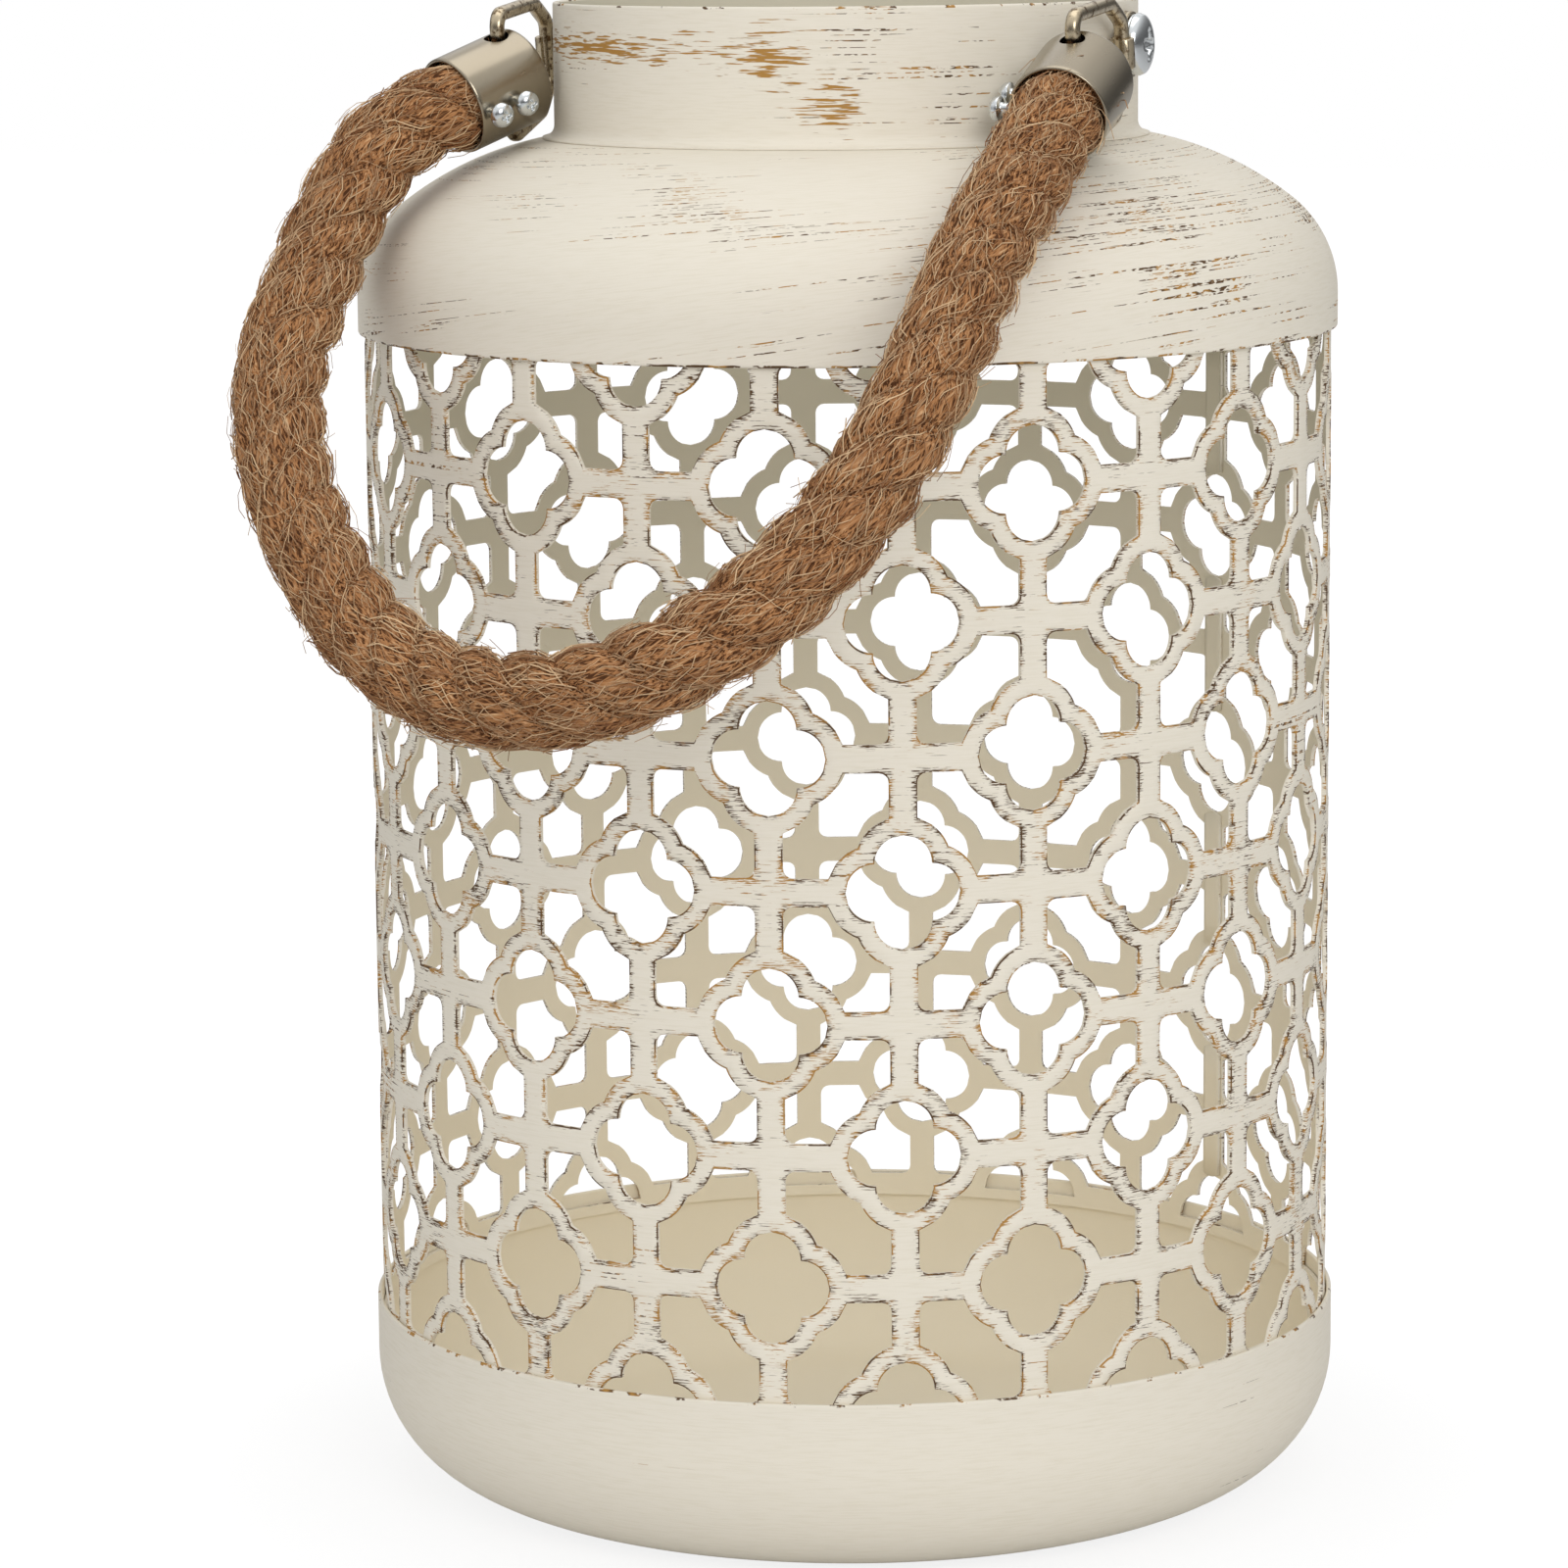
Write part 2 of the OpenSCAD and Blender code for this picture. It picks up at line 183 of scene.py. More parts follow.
def arc(centre: Place, radius: float, start: float, end: float, count: int) -> list[Place]:
    """Points along a circle's arc.

    Args:
        centre: the circle's centre.
        radius: its radius.
        start: angle of the first point, in degrees.
        end: angle of the last point, in degrees.
        count: how many pieces the arc is cut into.

    Returns:
        count + 1 points.
    """
    angles = (math.radians(start + (end - start) * i / count) for i in range(count + 1))
    return [(centre[0] + radius * math.cos(a), centre[1] + radius * math.sin(a)) for a in angles]


def lathe(
    name: str,
    profile: Sequence[tuple[float, float, float]],
    segments: int,
    closed: bool,
    place: Move | None = None,
) -> bpy.types.Object:
    """Turns a profile about the Z axis.

    Args:
        name: the piece's name.
        profile: radius, height and wear weight of each point.
        segments: how many steps one turn has.
        closed: whether the profile is a closed ring, and not a line from axis to axis.
        place: moves a point of the turned shape to where the piece is.

    Returns:
        The turned object.
    """
    draft = Draft()
    rows: list[list[int]] = []
    for radius, height, wear in profile:
        row = []
        for turn in turns(segments):
            point = Vector((radius * math.cos(turn), radius * math.sin(turn), height))
            row.append(draft.add(place(point) if place else point, wear))
        rows.append(row)
    draft.loft(rows + [rows[0]] if closed else rows, True)
    return draft.mesh(name, merge=0.0004)


def sweep(
    path: Sequence[Vector],
    section: Callable[[float], Sequence[Place]],
    up: Vector,
    draft: Draft | None = None,
) -> Draft:
    """Moves a section along a path, with flat caps at both ends.

    Args:
        path: the points that the section's origin passes.
        section: gives the section's outline for a distance along the path.
        up: a direction that the section's second axis starts close to.
        draft: the draft to add to, or None for a new one.

    Returns:
        The draft with the swept skin in it.
    """
    draft = draft or Draft()
    rows: list[list[int]] = []
    travelled = 0.0
    normal = up
    for i, centre in enumerate(path):
        tangent = (path[min(i + 1, len(path) - 1)] - path[max(i - 1, 0)]).normalized()
        normal = (normal - tangent * normal.dot(tangent)).normalized()
        across = tangent.cross(normal)
        if i:
            travelled += (centre - path[i - 1]).length
        rows.append([draft.add(centre + across * a + normal * b) for a, b in section(travelled)])
    draft.loft(rows, True)
    draft.cap(rows)
    return draft


def round_section(radius: float, sides: int) -> list[Place]:
    """A circle's outline."""
    return arc((0, 0), radius, 0, 360 * (sides - 1) / sides, sides - 1)


def turns(count: int) -> list[float]:
    """Angles of even steps round one turn, in radians."""
    return [math.tau * i / count for i in range(count)]


def rounded_path(corners: Sequence[Vector], radius: float, steps: int) -> list[Vector]:
    """A path through corners that are rounded with arcs.

    Args:
        corners: the path's ends and the corners between them.
        radius: the radius of every bend.
        steps: how many pieces a bend has.

    Returns:
        The path's points.
    """
    path = [corners[0]]
    for before, corner, after in zip(corners, corners[1:], corners[2:]):
        back = (before - corner).normalized()
        ahead = (after - corner).normalized()
        half = back.angle(ahead) / 2
        reach = radius / math.tan(half)
        centre = corner + (back + ahead).normalized() * (radius / math.sin(half))
        start = corner + back * reach - centre
        turn_axis = start.cross(corner + ahead * reach - centre).normalized()
        for i in range(steps + 1):
            turn = Matrix.Rotation((math.pi - 2 * half) * i / steps, 3, turn_axis)
            path.append(centre + turn @ start)
    return path + [corners[-1]]


def sharpen(piece: bpy.types.Object, angle: float) -> None:
    """Keeps the edges of a mesh that turn more than an angle, in degrees, crisp."""
    piece.data.set_sharp_from_angle(angle=math.radians(angle))


# Node trees


@dataclass
class Tree:
    """A hand for building a node tree: adds nodes, fills their sockets and links them."""

    tree: bpy.types.NodeTree

    def add(
        self,
        kind: str,
        inputs: dict[str | int, object] | None = None,
        out: str | int = 0,
        **settings: object,
    ) -> bpy.types.NodeSocket:
        """Adds a node.

        Args:
            kind: the node's Blender type.
            inputs: for each input's name or number, a value or the socket that feeds it.
            out: the name or number of the output to return.
            settings: the node's own properties.

        Returns:
            The chosen output socket.
        """
        node = self.tree.nodes.new(kind)
        for key, value in settings.items():
            setattr(node, key, value)
        for key, value in (inputs or {}).items():
            self.feed(node.inputs[key], value)
        return node.outputs[out] if len(node.outputs) else node.inputs[0]

    def feed(self, socket: bpy.types.NodeSocket, value: object) -> None:
        """Links an output to a socket, or sets the socket's own value."""
        if isinstance(value, bpy.types.NodeSocket):
            self.tree.links.new(value, socket)
        elif value is not None:
            socket.default_value = value

    def math(self, operation: str, *values: object, clamp: bool = False) -> bpy.types.NodeSocket:
        """Adds a Math node, or a shader or geometry one, as both trees share its type."""
        inputs = dict(enumerate(values))
        return self.add("ShaderNodeMath", inputs, operation=operation, use_clamp=clamp)

    def vector(self, operation: str, *values: object, out: str = "Vector") -> bpy.types.NodeSocket:
        """Adds a Vector Math node."""
        return self.add("ShaderNodeVectorMath", dict(enumerate(values)), out, operation=operation)

    def blend(self, share: object, first: object, second: object) -> bpy.types.NodeSocket:
        """Mixes two colours by a share."""
        inputs = {0: share, 6: first, 7: second}
        return self.add("ShaderNodeMix", inputs, 2, data_type="RGBA", clamp_factor=True)

    def ramp(self, value: object, low: object, high: object) -> bpy.types.NodeSocket:
        """A smooth step from 0 at low to 1 at high."""
        inputs = {"Value": value, "From Min": low, "From Max": high}
        return self.add("ShaderNodeMapRange", inputs, "Result", interpolation_type="SMOOTHSTEP")

    def noise(
        self, vector: object, scale: object, detail: float = 3.0, rough: float = 0.55
    ) -> bpy.types.NodeSocket:
        """Adds a Noise texture and returns its value."""
        inputs = {"Vector": vector, "Scale": scale, "Detail": detail, "Roughness": rough}
        return self.add("ShaderNodeTexNoise", inputs, "Fac")


class Value(Enum):
    """Kinds of a group's sockets."""

    NUMBER = "NodeSocketFloat"
    COUNT = "NodeSocketInt"
    VECTOR = "NodeSocketVector"
    GEOMETRY = "NodeSocketGeometry"
    MATERIAL = "NodeSocketMaterial"


@dataclass(frozen=True)
class Socket:
    """A named input or output of a node group."""

    name: str
    kind: Value = Value.NUMBER
    default: object = None


def new_group(
    name: str, tree_type: str, inputs: Sequence[Socket], outputs: Sequence[Socket]
) -> tuple[Tree, bpy.types.Node, bpy.types.Node]:
    """Makes an empty node group.

    Args:
        name: the group's name.
        tree_type: ShaderNodeTree or GeometryNodeTree.
        inputs: the sockets that it takes.
        outputs: the sockets that it gives.

    Returns:
        The tree's hand, its input node and its output node.
    """
    tree = bpy.data.node_groups.new(name, tree_type)
    for direction, sockets in (("INPUT", inputs), ("OUTPUT", outputs)):
        for socket in sockets:
            kind = socket.kind.value
            made = tree.interface.new_socket(socket.name, in_out=direction, socket_type=kind)
            if socket.default is not None:
                made.default_value = socket.default
    return Tree(tree), tree.nodes.new("NodeGroupInput"), tree.nodes.new("NodeGroupOutput")


def set_material(hand: Tree, geometry: object, finish: object) -> bpy.types.NodeSocket:
    """Adds the Set Material node that a geometry group ends in."""
    values = {"Geometry": geometry, "Material": finish}
    return hand.add("GeometryNodeSetMaterial", values, "Geometry")


def run_geometry(
    source: bpy.types.Object, group: bpy.types.NodeTree, values: dict[str, object], name: str
) -> bpy.types.Object:
    """Runs a geometry group on an object and keeps the result as a plain mesh.

    Args:
        source: the object that goes into the group; it is removed.
        group: the geometry node group.
        values: the group's inputs by name.
        name: the new piece's name.

    Returns:
        A new object that holds the result.
    """
    modifier = source.modifiers.new(group.name, "NODES")
    modifier.node_group = group
    for item in group.interface.items_tree:
        if item.in_out == "INPUT" and item.name in values:
            modifier[item.identifier] = values[item.name]
    source.update_tag()
    graph = bpy.context.evaluated_depsgraph_get()
    data = bpy.data.meshes.new_from_object(source.evaluated_get(graph), depsgraph=graph)
    data.name = name
    bpy.data.objects.remove(source)
    return new_object(name, data)


# Shader groups that several finishes share


class Effects:
    """Shader node groups, each built once and placed in the finishes with their own values.

    The class's numbers are levels of noise, which lies about 0.5: where a stroke, a dash, an
    edge line or a scratch begins, and how much an input moves that level.
    """

    patch_share = 0.8
    cover_share = 0.3
    stroke_level = 1.3
    stroke_edge = 0.05
    dash_span = (0.46, 0.54)
    line_level = 0.66
    edge_span = (0.84, 0.95)
    scratch_l = 6 * MM
    scratch_h = 0.4 * MM
    fade_share = 0.42
    scratch_share = 1.6
    scrape_span = (1.03, 1.13)

    def __init__(self) -> None:
        """Builds every group."""
        self.strokes = self._strokes()
        self.edge_line = self._edge_line()
        self.scrape = self._scrape()
        self.grain = self._grain()
        self.laid_fibres = self._laid_fibres()

    @staticmethod
    def stretched(
        hand: Tree, vector: object, along: object, across: object, seed: object
    ) -> bpy.types.NodeSocket:
        """A place divided by a level length and a height, and moved by a seed."""
        level = hand.math("DIVIDE", 1.0, along)
        rise = hand.math("DIVIDE", 1.0, across)
        squeeze = hand.add("ShaderNodeCombineXYZ", {0: level, 1: level, 2: rise})
        shift = hand.add("ShaderNodeCombineXYZ", {0: seed, 1: seed, 2: seed})
        return hand.vector("ADD", hand.vector("MULTIPLY", vector, squeeze), shift)

    @classmethod
    def _strokes(cls) -> bpy.types.NodeTree:
        """Dry-brush rows: long thin lines, broken into dashes and gathered in patches.

        Returns:
            The group. Lift is added to the chance of a stroke from place to place.
        """
        inputs = [
            Socket("Vector", Value.VECTOR),
            Socket("Row", default=0.03),
            Socket("Dash", default=0.002),
            Socket("Height", default=0.0003),
            Socket("Patch", default=0.04),
            Socket("Cover", default=0.5),
            Socket("Lift"),
            Socket("Seed"),
        ]
        hand, given, result = new_group("brush_strokes", "ShaderNodeTree", inputs, [Socket("Mask")])
        take = given.outputs

        def brushed(length: str, height: str, detail: float) -> bpy.types.NodeSocket:
            """Noise as long and as high as two of the inputs say."""
            place = cls.stretched(hand, take["Vector"], take[length], take[height], take["Seed"])
            return hand.noise(place, 1.0, detail, 0.5)

        rows = brushed("Row", "Height", 1.0)
        patches = hand.math("MULTIPLY", brushed("Patch", "Patch", 2.0), cls.patch_share)
        total = hand.math("ADD", hand.math("ADD", rows, patches), take["Lift"])
        spread = hand.math("MULTIPLY", take["Cover"], cls.cover_share)
        high = hand.math("SUBTRACT", cls.stroke_level, spread)
        lines = hand.ramp(total, hand.math("SUBTRACT", high, cls.stroke_edge), high)
        dashes = hand.ramp(brushed("Dash", "Height", 1.5), *cls.dash_span)
        hand.feed(result.inputs["Mask"], hand.math("MULTIPLY", lines, dashes))
        return hand.tree

    @classmethod
    def _edge_line(cls) -> bpy.types.NodeTree:
        """A thin line of bare metal along the sheet's edges, broken here and there.

        Returns:
            The group, with inputs for the edge's weight, the breaks' size and the share shown.
        """
        inputs = [
            Socket("Vector", Value.VECTOR),
            Socket("Edge"),
            Socket("Break", default=0.004),
            Socket("Cover", default=0.5),
        ]
        hand, given, result = new_group("edge_line", "ShaderNodeTree", inputs, [Socket("Mask")])
        take = given.outputs
        shown = hand.noise(take["Vector"], hand.math("DIVIDE", 1.0, take["Break"]), 3.0, 0.7)
        spread = hand.math("MULTIPLY", take["Cover"], cls.cover_share)
        low = hand.math("SUBTRACT", cls.line_level, spread)
        part = hand.ramp(shown, low, hand.math("ADD", low, cls.stroke_edge))
        edge = hand.ramp(take["Edge"], *cls.edge_span)
        hand.feed(result.inputs["Mask"], hand.math("MULTIPLY", part, edge))
        return hand.tree

    @classmethod
    def _scrape(cls) -> bpy.types.NodeTree:
        """A place where a brush has scraped the paint away in level scratches.

        Returns:
            The group, with inputs for the scrape's middle and its half width and half height.
        """
        inputs = [
            Socket("Vector", Value.VECTOR),
            Socket("Centre", Value.VECTOR),
            Socket("Width", default=0.02),
            Socket("Height", default=0.002),
            Socket("Seed"),
        ]
        hand, given, result = new_group("scrape", "ShaderNodeTree", inputs, [Socket("Mask")])
        take = given.outputs
        off = hand.vector("SUBTRACT", take["Vector"], take["Centre"])
        off = cls.stretched(hand, off, take["Width"], take["Height"], 0.0)
        fade = hand.math("SUBTRACT", 1.0, hand.vector("LENGTH", off, out="Value"))
        place = cls.stretched(hand, take["Vector"], cls.scratch_l, cls.scratch_h, take["Seed"])
        scratches = hand.math("MULTIPLY", hand.noise(place, 1.0, 2.0, 0.6), cls.scratch_share)
        total = hand.math("ADD", hand.math("MULTIPLY", fade, cls.fade_share), scratches)
        hand.feed(result.inputs["Mask"], hand.ramp(total, *cls.scrape_span))
        return hand.tree

    @staticmethod
    def _grain() -> bpy.types.NodeTree:
        """Fine height variation of a surface, drawn out along one direction.

        Returns:
            The group, with inputs for the grain's size and how far it is drawn out.
        """
        inputs = [
            Socket("Vector", Value.VECTOR),
            Socket("Size", default=0.001),
            Socket("Stretch", Value.VECTOR, (1.0, 1.0, 1.0)),
        ]
        outputs = [Socket("Height")]
        hand, given, result = new_group("surface_grain", "ShaderNodeTree", inputs, outputs)
        take = given.outputs
        place = hand.vector("MULTIPLY", take["Vector"], take["Stretch"])
        size = hand.math("DIVIDE", 1.0, take["Size"])
        hand.feed(result.inputs["Height"], hand.noise(place, size, 4.0, 0.6))
        return hand.tree

    @staticmethod
    def _laid_fibres() -> bpy.types.NodeTree:
        """Fibres that run along a rope and slowly round it.

        Returns:
            The group. Vector is the distance along the rope and the place across it.
        """
        inputs = [
            Socket("Vector", Value.VECTOR),
            Socket("Twist", default=60.0),
            Socket("Length", default=0.006),
            Socket("Width", default=0.0004),
            Socket("Seed"),
        ]
        hand, given, result = new_group("laid_fibres", "ShaderNodeTree", inputs, [Socket("Height")])
        take = given.outputs
        along = hand.add("ShaderNodeSeparateXYZ", {0: take["Vector"]}, 0)
        turn = {"Vector": take["Vector"], "Angle": hand.math("MULTIPLY", along, take["Twist"])}
        turned = hand.add("ShaderNodeVectorRotate", turn, rotation_type="X_AXIS")
        thin = hand.math("DIVIDE", 1.0, take["Width"])
        long = hand.math("DIVIDE", 1.0, take["Length"])
        squeeze = hand.add("ShaderNodeCombineXYZ", {0: long, 1: thin, 2: thin})
        shift = hand.add("ShaderNodeCombineXYZ", {0: take["Seed"], 1: take["Seed"]})
        place = hand.vector("ADD", hand.vector("MULTIPLY", turned, squeeze), shift)
        hand.feed(result.inputs["Height"], hand.noise(place, 1.0, 2.0, 0.55))
        return hand.tree


def place_group(
    hand: Tree, group: bpy.types.NodeTree, inputs: dict[str, object], out: str
) -> bpy.types.NodeSocket:
    """Places a shader group in a material and returns one of its outputs."""
    node = hand.tree.nodes.new("ShaderNodeGroup")
    node.node_tree = group
    for key, value in inputs.items():
        hand.feed(node.inputs[key], value)
    return node.outputs[out]


def new_material(name: str) -> tuple[bpy.types.Material, Tree, bpy.types.Node]:
    """Makes a material with its Principled shader.

    Returns:
        The material, its tree's hand and the shader node.
    """
    made = bpy.data.materials.new(name)
    made.use_nodes = True
    shader = made.node_tree.nodes["Principled BSDF"]
    return made, Tree(made.node_tree), shader


def object_place(hand: Tree) -> bpy.types.NodeSocket:
    """The surface's place in the object's own frame."""
    return hand.add("ShaderNodeTexCoord", out="Object")


def mesh_value(hand: Tree, name: str, out: str = "Fac") -> bpy.types.NodeSocket:
    """A value that the mesh carries under a name."""
    settings = {"attribute_name": name, "attribute_type": "GEOMETRY"}
    return hand.add("ShaderNodeAttribute", out=out, **settings)


Colour = tuple[float, float, float, float]


def srgb(red: int, green: int, blue: int) -> Colour:
    """A colour given as screen values from 0 to 255, as the linear values that shaders take."""
    def linear(value: int) -> float:
        """One channel's linear value."""
        share = value / 255
        return share / 12.92 if share <= 0.04045 else ((share + 0.055) / 1.055) ** 2.4

    return linear(red), linear(green), linear(blue), 1.0


@dataclass(frozen=True)
class Scrape:
    """Where a finish is scraped: degrees round from the front, and millimetres."""

    turn: float
    level: float
    width: float
    height: float


@dataclass(frozen=True)
class PaintFinish:
    """Cream paint brushed over gold and dark metal, rubbed back along edges and in rows.

    crown_share is how much a step towards the axis counts as a step up, so that the rows keep
    their spacing on a dome.
    """

    name: str
    seed: float
    rows_cover: float
    edge_cover: float = 0.0
    line_cover: float = 0.3
    row_tilt: float = 0.0
    crown_share: float = 0.0
    radius: float = 0.0
    scrapes: tuple[Scrape, ...] = ()
    cream: Colour = srgb(236, 229, 214)
    shade: Colour = srgb(227, 219, 200)
    # The inside's colours are painted light low down and painted shade high up, blended over a span
    # of heights.
    inside_low: Colour = srgb(248, 239, 218)
    inside_high: Colour = srgb(206, 200, 180)
    dark: Colour = srgb(88, 62, 34)
    gold: Colour = srgb(176, 130, 62)
    gold_scale: float = 230.0
    middle_z: float = 120.0
    inside_span: tuple[float, float] = (60.0, 230.0)

    def brushed_place(self, hand: Tree, place: bpy.types.NodeSocket) -> bpy.types.NodeSocket:
        """The surface's place, with its height taken along the sheet and tilted with the rows."""
        parts = hand.add("ShaderNodeSeparateXYZ", {0: place}).node.outputs
        flat = hand.add("ShaderNodeCombineXYZ", {0: parts[0], 1: parts[1]})
        radius = hand.vector("LENGTH", flat, out="Value")
        level = hand.math("SUBTRACT", parts[2], hand.math("MULTIPLY", radius, self.crown_share))
        bent = hand.add("ShaderNodeCombineXYZ", {0: parts[0], 1: parts[1], 2: level})
        turn = (0.0, self.row_tilt, 0.0)
        return hand.add("ShaderNodeMapping", {"Vector": bent, "Rotation": turn})

    def outside(self, hand: Tree, place: bpy.types.NodeSocket) -> bpy.types.NodeSocket:
        """1 where the surface faces away from the lantern's inside, and 0 where it faces it."""
        off = hand.vector("SUBTRACT", place, (0.0, 0.0, self.middle_z * MM))
        off = hand.vector("MULTIPLY", off, (1.0, 1.0, 0.35))
        facing = hand.add("ShaderNodeNewGeometry", out="Normal")
        share = hand.vector("DOT_PRODUCT", hand.vector("NORMALIZE", off), facing, out="Value")
        return hand.ramp(share, -0.5, -0.4)

    def scraped(
        self, hand: Tree, effects: Effects, place: bpy.types.NodeSocket
    ) -> bpy.types.NodeSocket | float:
        """Where the paint is scraped away."""
        total: bpy.types.NodeSocket | float = 0.0
        for number, scrape in enumerate(self.scrapes):
            turn = math.radians(scrape.turn)
            radius = self.radius * MM
            centre = (radius * math.sin(turn), -radius * math.cos(turn), scrape.level * MM)
            values = {
                "Vector": place, "Centre": centre, "Width": scrape.width * MM,
                "Height": scrape.height * MM, "Seed": self.seed + number,
            }
            total = hand.math("MAXIMUM", total, place_group(hand, effects.scrape, values, "Mask"))
        return total

    def rubbed(
        self,
        hand: Tree,
        effects: Effects,
        place: bpy.types.NodeSocket,
        brushed: bpy.types.NodeSocket,
    ) -> bpy.types.NodeSocket:
        """Where the paint is rubbed off: in rows, in a hatch beside edges, and along edges.

        Args:
            hand: the material's tree.
            effects: the shared shader groups.
            place: the surface's place.
            brushed: the same place, bent and tilted with the rows.

        Returns:
            The mask.
        """
        edge = mesh_value(hand, WEAR_AND_GROOVE_SHADE)
        rows = {
            "Vector": brushed, "Row": 45 * MM, "Dash": 1.3 * MM, "Height": 0.42 * MM,
            "Patch": 30 * MM, "Cover": self.rows_cover, "Seed": self.seed,
        }
        bare = place_group(hand, effects.strokes, rows, "Mask")
        if self.edge_cover > 0:
            hatch = {
                "Vector": brushed, "Row": 5 * MM, "Dash": 1.6 * MM, "Height": 0.15 * MM,
                "Patch": 12 * MM, "Cover": self.edge_cover,
                "Lift": hand.math("MULTIPLY", edge, 0.35), "Seed": self.seed + 5,
            }
            bare = hand.math("MAXIMUM", bare, place_group(hand, effects.strokes, hatch, "Mask"))
        line = {"Vector": place, "Edge": edge, "Break": 3.5 * MM, "Cover": self.line_cover}
        return hand.math("MAXIMUM", bare, place_group(hand, effects.edge_line, line, "Mask"))

    def inside(self, hand: Tree, place: bpy.types.NodeSocket) -> bpy.types.NodeSocket:
        """The inside's paint, lighter and warmer low down: painted light below that turns to
        painted shade towards the top.
        """
        low, high = (level * MM for level in self.inside_span)
        level = hand.add("ShaderNodeSeparateXYZ", {0: place}, 2)
        return hand.blend(hand.ramp(level, low, high), self.inside_low, self.inside_high)

    def build(self, effects: Effects) -> bpy.types.Material:
        """Makes the material.

        Args:
            effects: the shared shader groups.

        Returns:
            The painted finish.
        """
        made, hand, shader = new_material(self.name)
        place = object_place(hand)
        brushed = self.brushed_place(hand, place)
        hairs = {"Vector": brushed, "Size": 5 * MM, "Stretch": (1.0, 1.0, 16.0)}
        hair = place_group(hand, effects.grain, hairs, "Height")
        streaks = hand.math("MULTIPLY", hand.ramp(hair, 0.4, 0.75), 0.6)
        cream = hand.blend(streaks, self.cream, self.shade)
        scraped = self.scraped(hand, effects, place)
        outside = self.outside(hand, place)
        bare = hand.math("MAXIMUM", self.rubbed(hand, effects, place, brushed), scraped)
        bare = hand.math("MULTIPLY", bare, outside)
        golden = hand.ramp(hand.noise(place, self.gold_scale, 2.0), 0.46, 0.56)
        under = hand.blend(hand.math("MAXIMUM", golden, scraped), self.dark, self.gold)
        # Inside faces get the painted light-and-shade gradient in place of the cream.
        painted = hand.blend(outside, self.inside(hand, place), cream)
        hand.feed(shader.inputs["Base Color"], hand.blend(bare, painted, under))
        roughness = hand.math("ADD", 0.5, hand.math("MULTIPLY", hair, 0.2))
        hand.feed(shader.inputs["Roughness"], roughness)
        shader.inputs["Specular IOR Level"].default_value = 0.35
        relief = hand.math("SUBTRACT", hair, bare)
        bump = {"Height": relief, "Strength": 0.2, "Distance": 0.1 * MM}
        hand.feed(shader.inputs["Normal"], hand.add("ShaderNodeBump", bump))
        return made


@dataclass(frozen=True)
class MetalFinish:
    """Plated metal with a drawn grain and some tarnish."""

    name: str
    tint: Colour
    stain: Colour
    rough: float
    stain_cover: float
    grain_size: float = 1.5
    stretch: Point = (1.0, 1.0, 1.0)
    spot_scale: float = 700.0

    def build(self, effects: Effects) -> bpy.types.Material:
        """Makes the material.

        Args:
            effects: the shared shader groups.

        Returns:
            The plated finish.
        """
        made, hand, shader = new_material(self.name)
        place = object_place(hand)
        grain = {"Vector": place, "Size": self.grain_size * MM, "Stretch": self.stretch}
        height = place_group(hand, effects.grain, grain, "Height")
        spots = hand.noise(place, self.spot_scale, 4.0, 0.65)
        low = 0.78 - 0.35 * self.stain_cover
        stained = hand.ramp(spots, low, low + 0.16)
        hand.feed(shader.inputs["Base Color"], hand.blend(stained, self.tint, self.stain))
        roughness = hand.math("ADD", self.rough, hand.math("MULTIPLY", height, 0.12))
        roughness = hand.math("ADD", roughness, hand.math("MULTIPLY", stained, 0.2))
        hand.feed(shader.inputs["Roughness"], roughness)
        shader.inputs["Metallic"].default_value = 1.0
        bump = {"Height": height, "Strength": 0.12, "Distance": 0.08 * MM}
        hand.feed(shader.inputs["Normal"], hand.add("ShaderNodeBump", bump))
        return made


@dataclass(frozen=True)
class StrandFinish:
    """Twisted jute: fibres in two tones, with painted shade in the gaps between fibres and in the
    grooves between strands.
    """

    name: str
    light: Colour = srgb(222, 182, 138)
    mid: Colour = srgb(178, 126, 82)
    # The two darkest colours are painted shade: the first for the gaps between fibres, the second
    # for the grooves between strands.
    dark: Colour = srgb(84, 52, 30)
    groove: Colour = srgb(58, 36, 22)
    twist: float = 70.0

    def build(self, effects: Effects) -> bpy.types.Material:
        """Makes the material.

        Args:
            effects: the shared shader groups.

        Returns:
            The strands' finish.
        """
        made, hand, shader = new_material(self.name)
        place = mesh_value(hand, ROUND, "Vector")
        layers = []
        for seed, twist in ((2.0, -self.twist), (9.0, 0.0), (17.0, self.twist)):
            values = {
                "Vector": place, "Twist": twist, "Length": 6 * MM, "Width": 0.42 * MM, "Seed": seed,
            }
            layers.append(place_group(hand, effects.laid_fibres, values, "Height"))
        height = hand.math("MAXIMUM", hand.math("MAXIMUM", *layers[:2]), layers[2])
        fibres = hand.blend(hand.ramp(height, 0.6, 0.78), self.mid, self.light)
        # Painted shade: the colour turns dark where the fibres' height is low, in the gaps between
        # them.
        fibres_with_gap_shade = hand.blend(hand.ramp(height, 0.6, 0.5), fibres, self.dark)
        # Painted shade in the grooves between strands, where the mesh's outermost weight is low.
        deep = hand.math("MULTIPLY", hand.ramp(mesh_value(hand, WEAR_AND_GROOVE_SHADE), 0.6, 0.1), 0.75)
        hand.feed(shader.inputs["Base Color"], hand.blend(deep, fibres_with_gap_shade, self.groove))
        shader.inputs["Roughness"].default_value = 0.9
        shader.inputs["Specular IOR Level"].default_value = 0.15
        bump = {"Height": height, "Strength": 0.8, "Distance": 0.6 * MM}
        hand.feed(shader.inputs["Normal"], hand.add("ShaderNodeBump", bump))
        return made


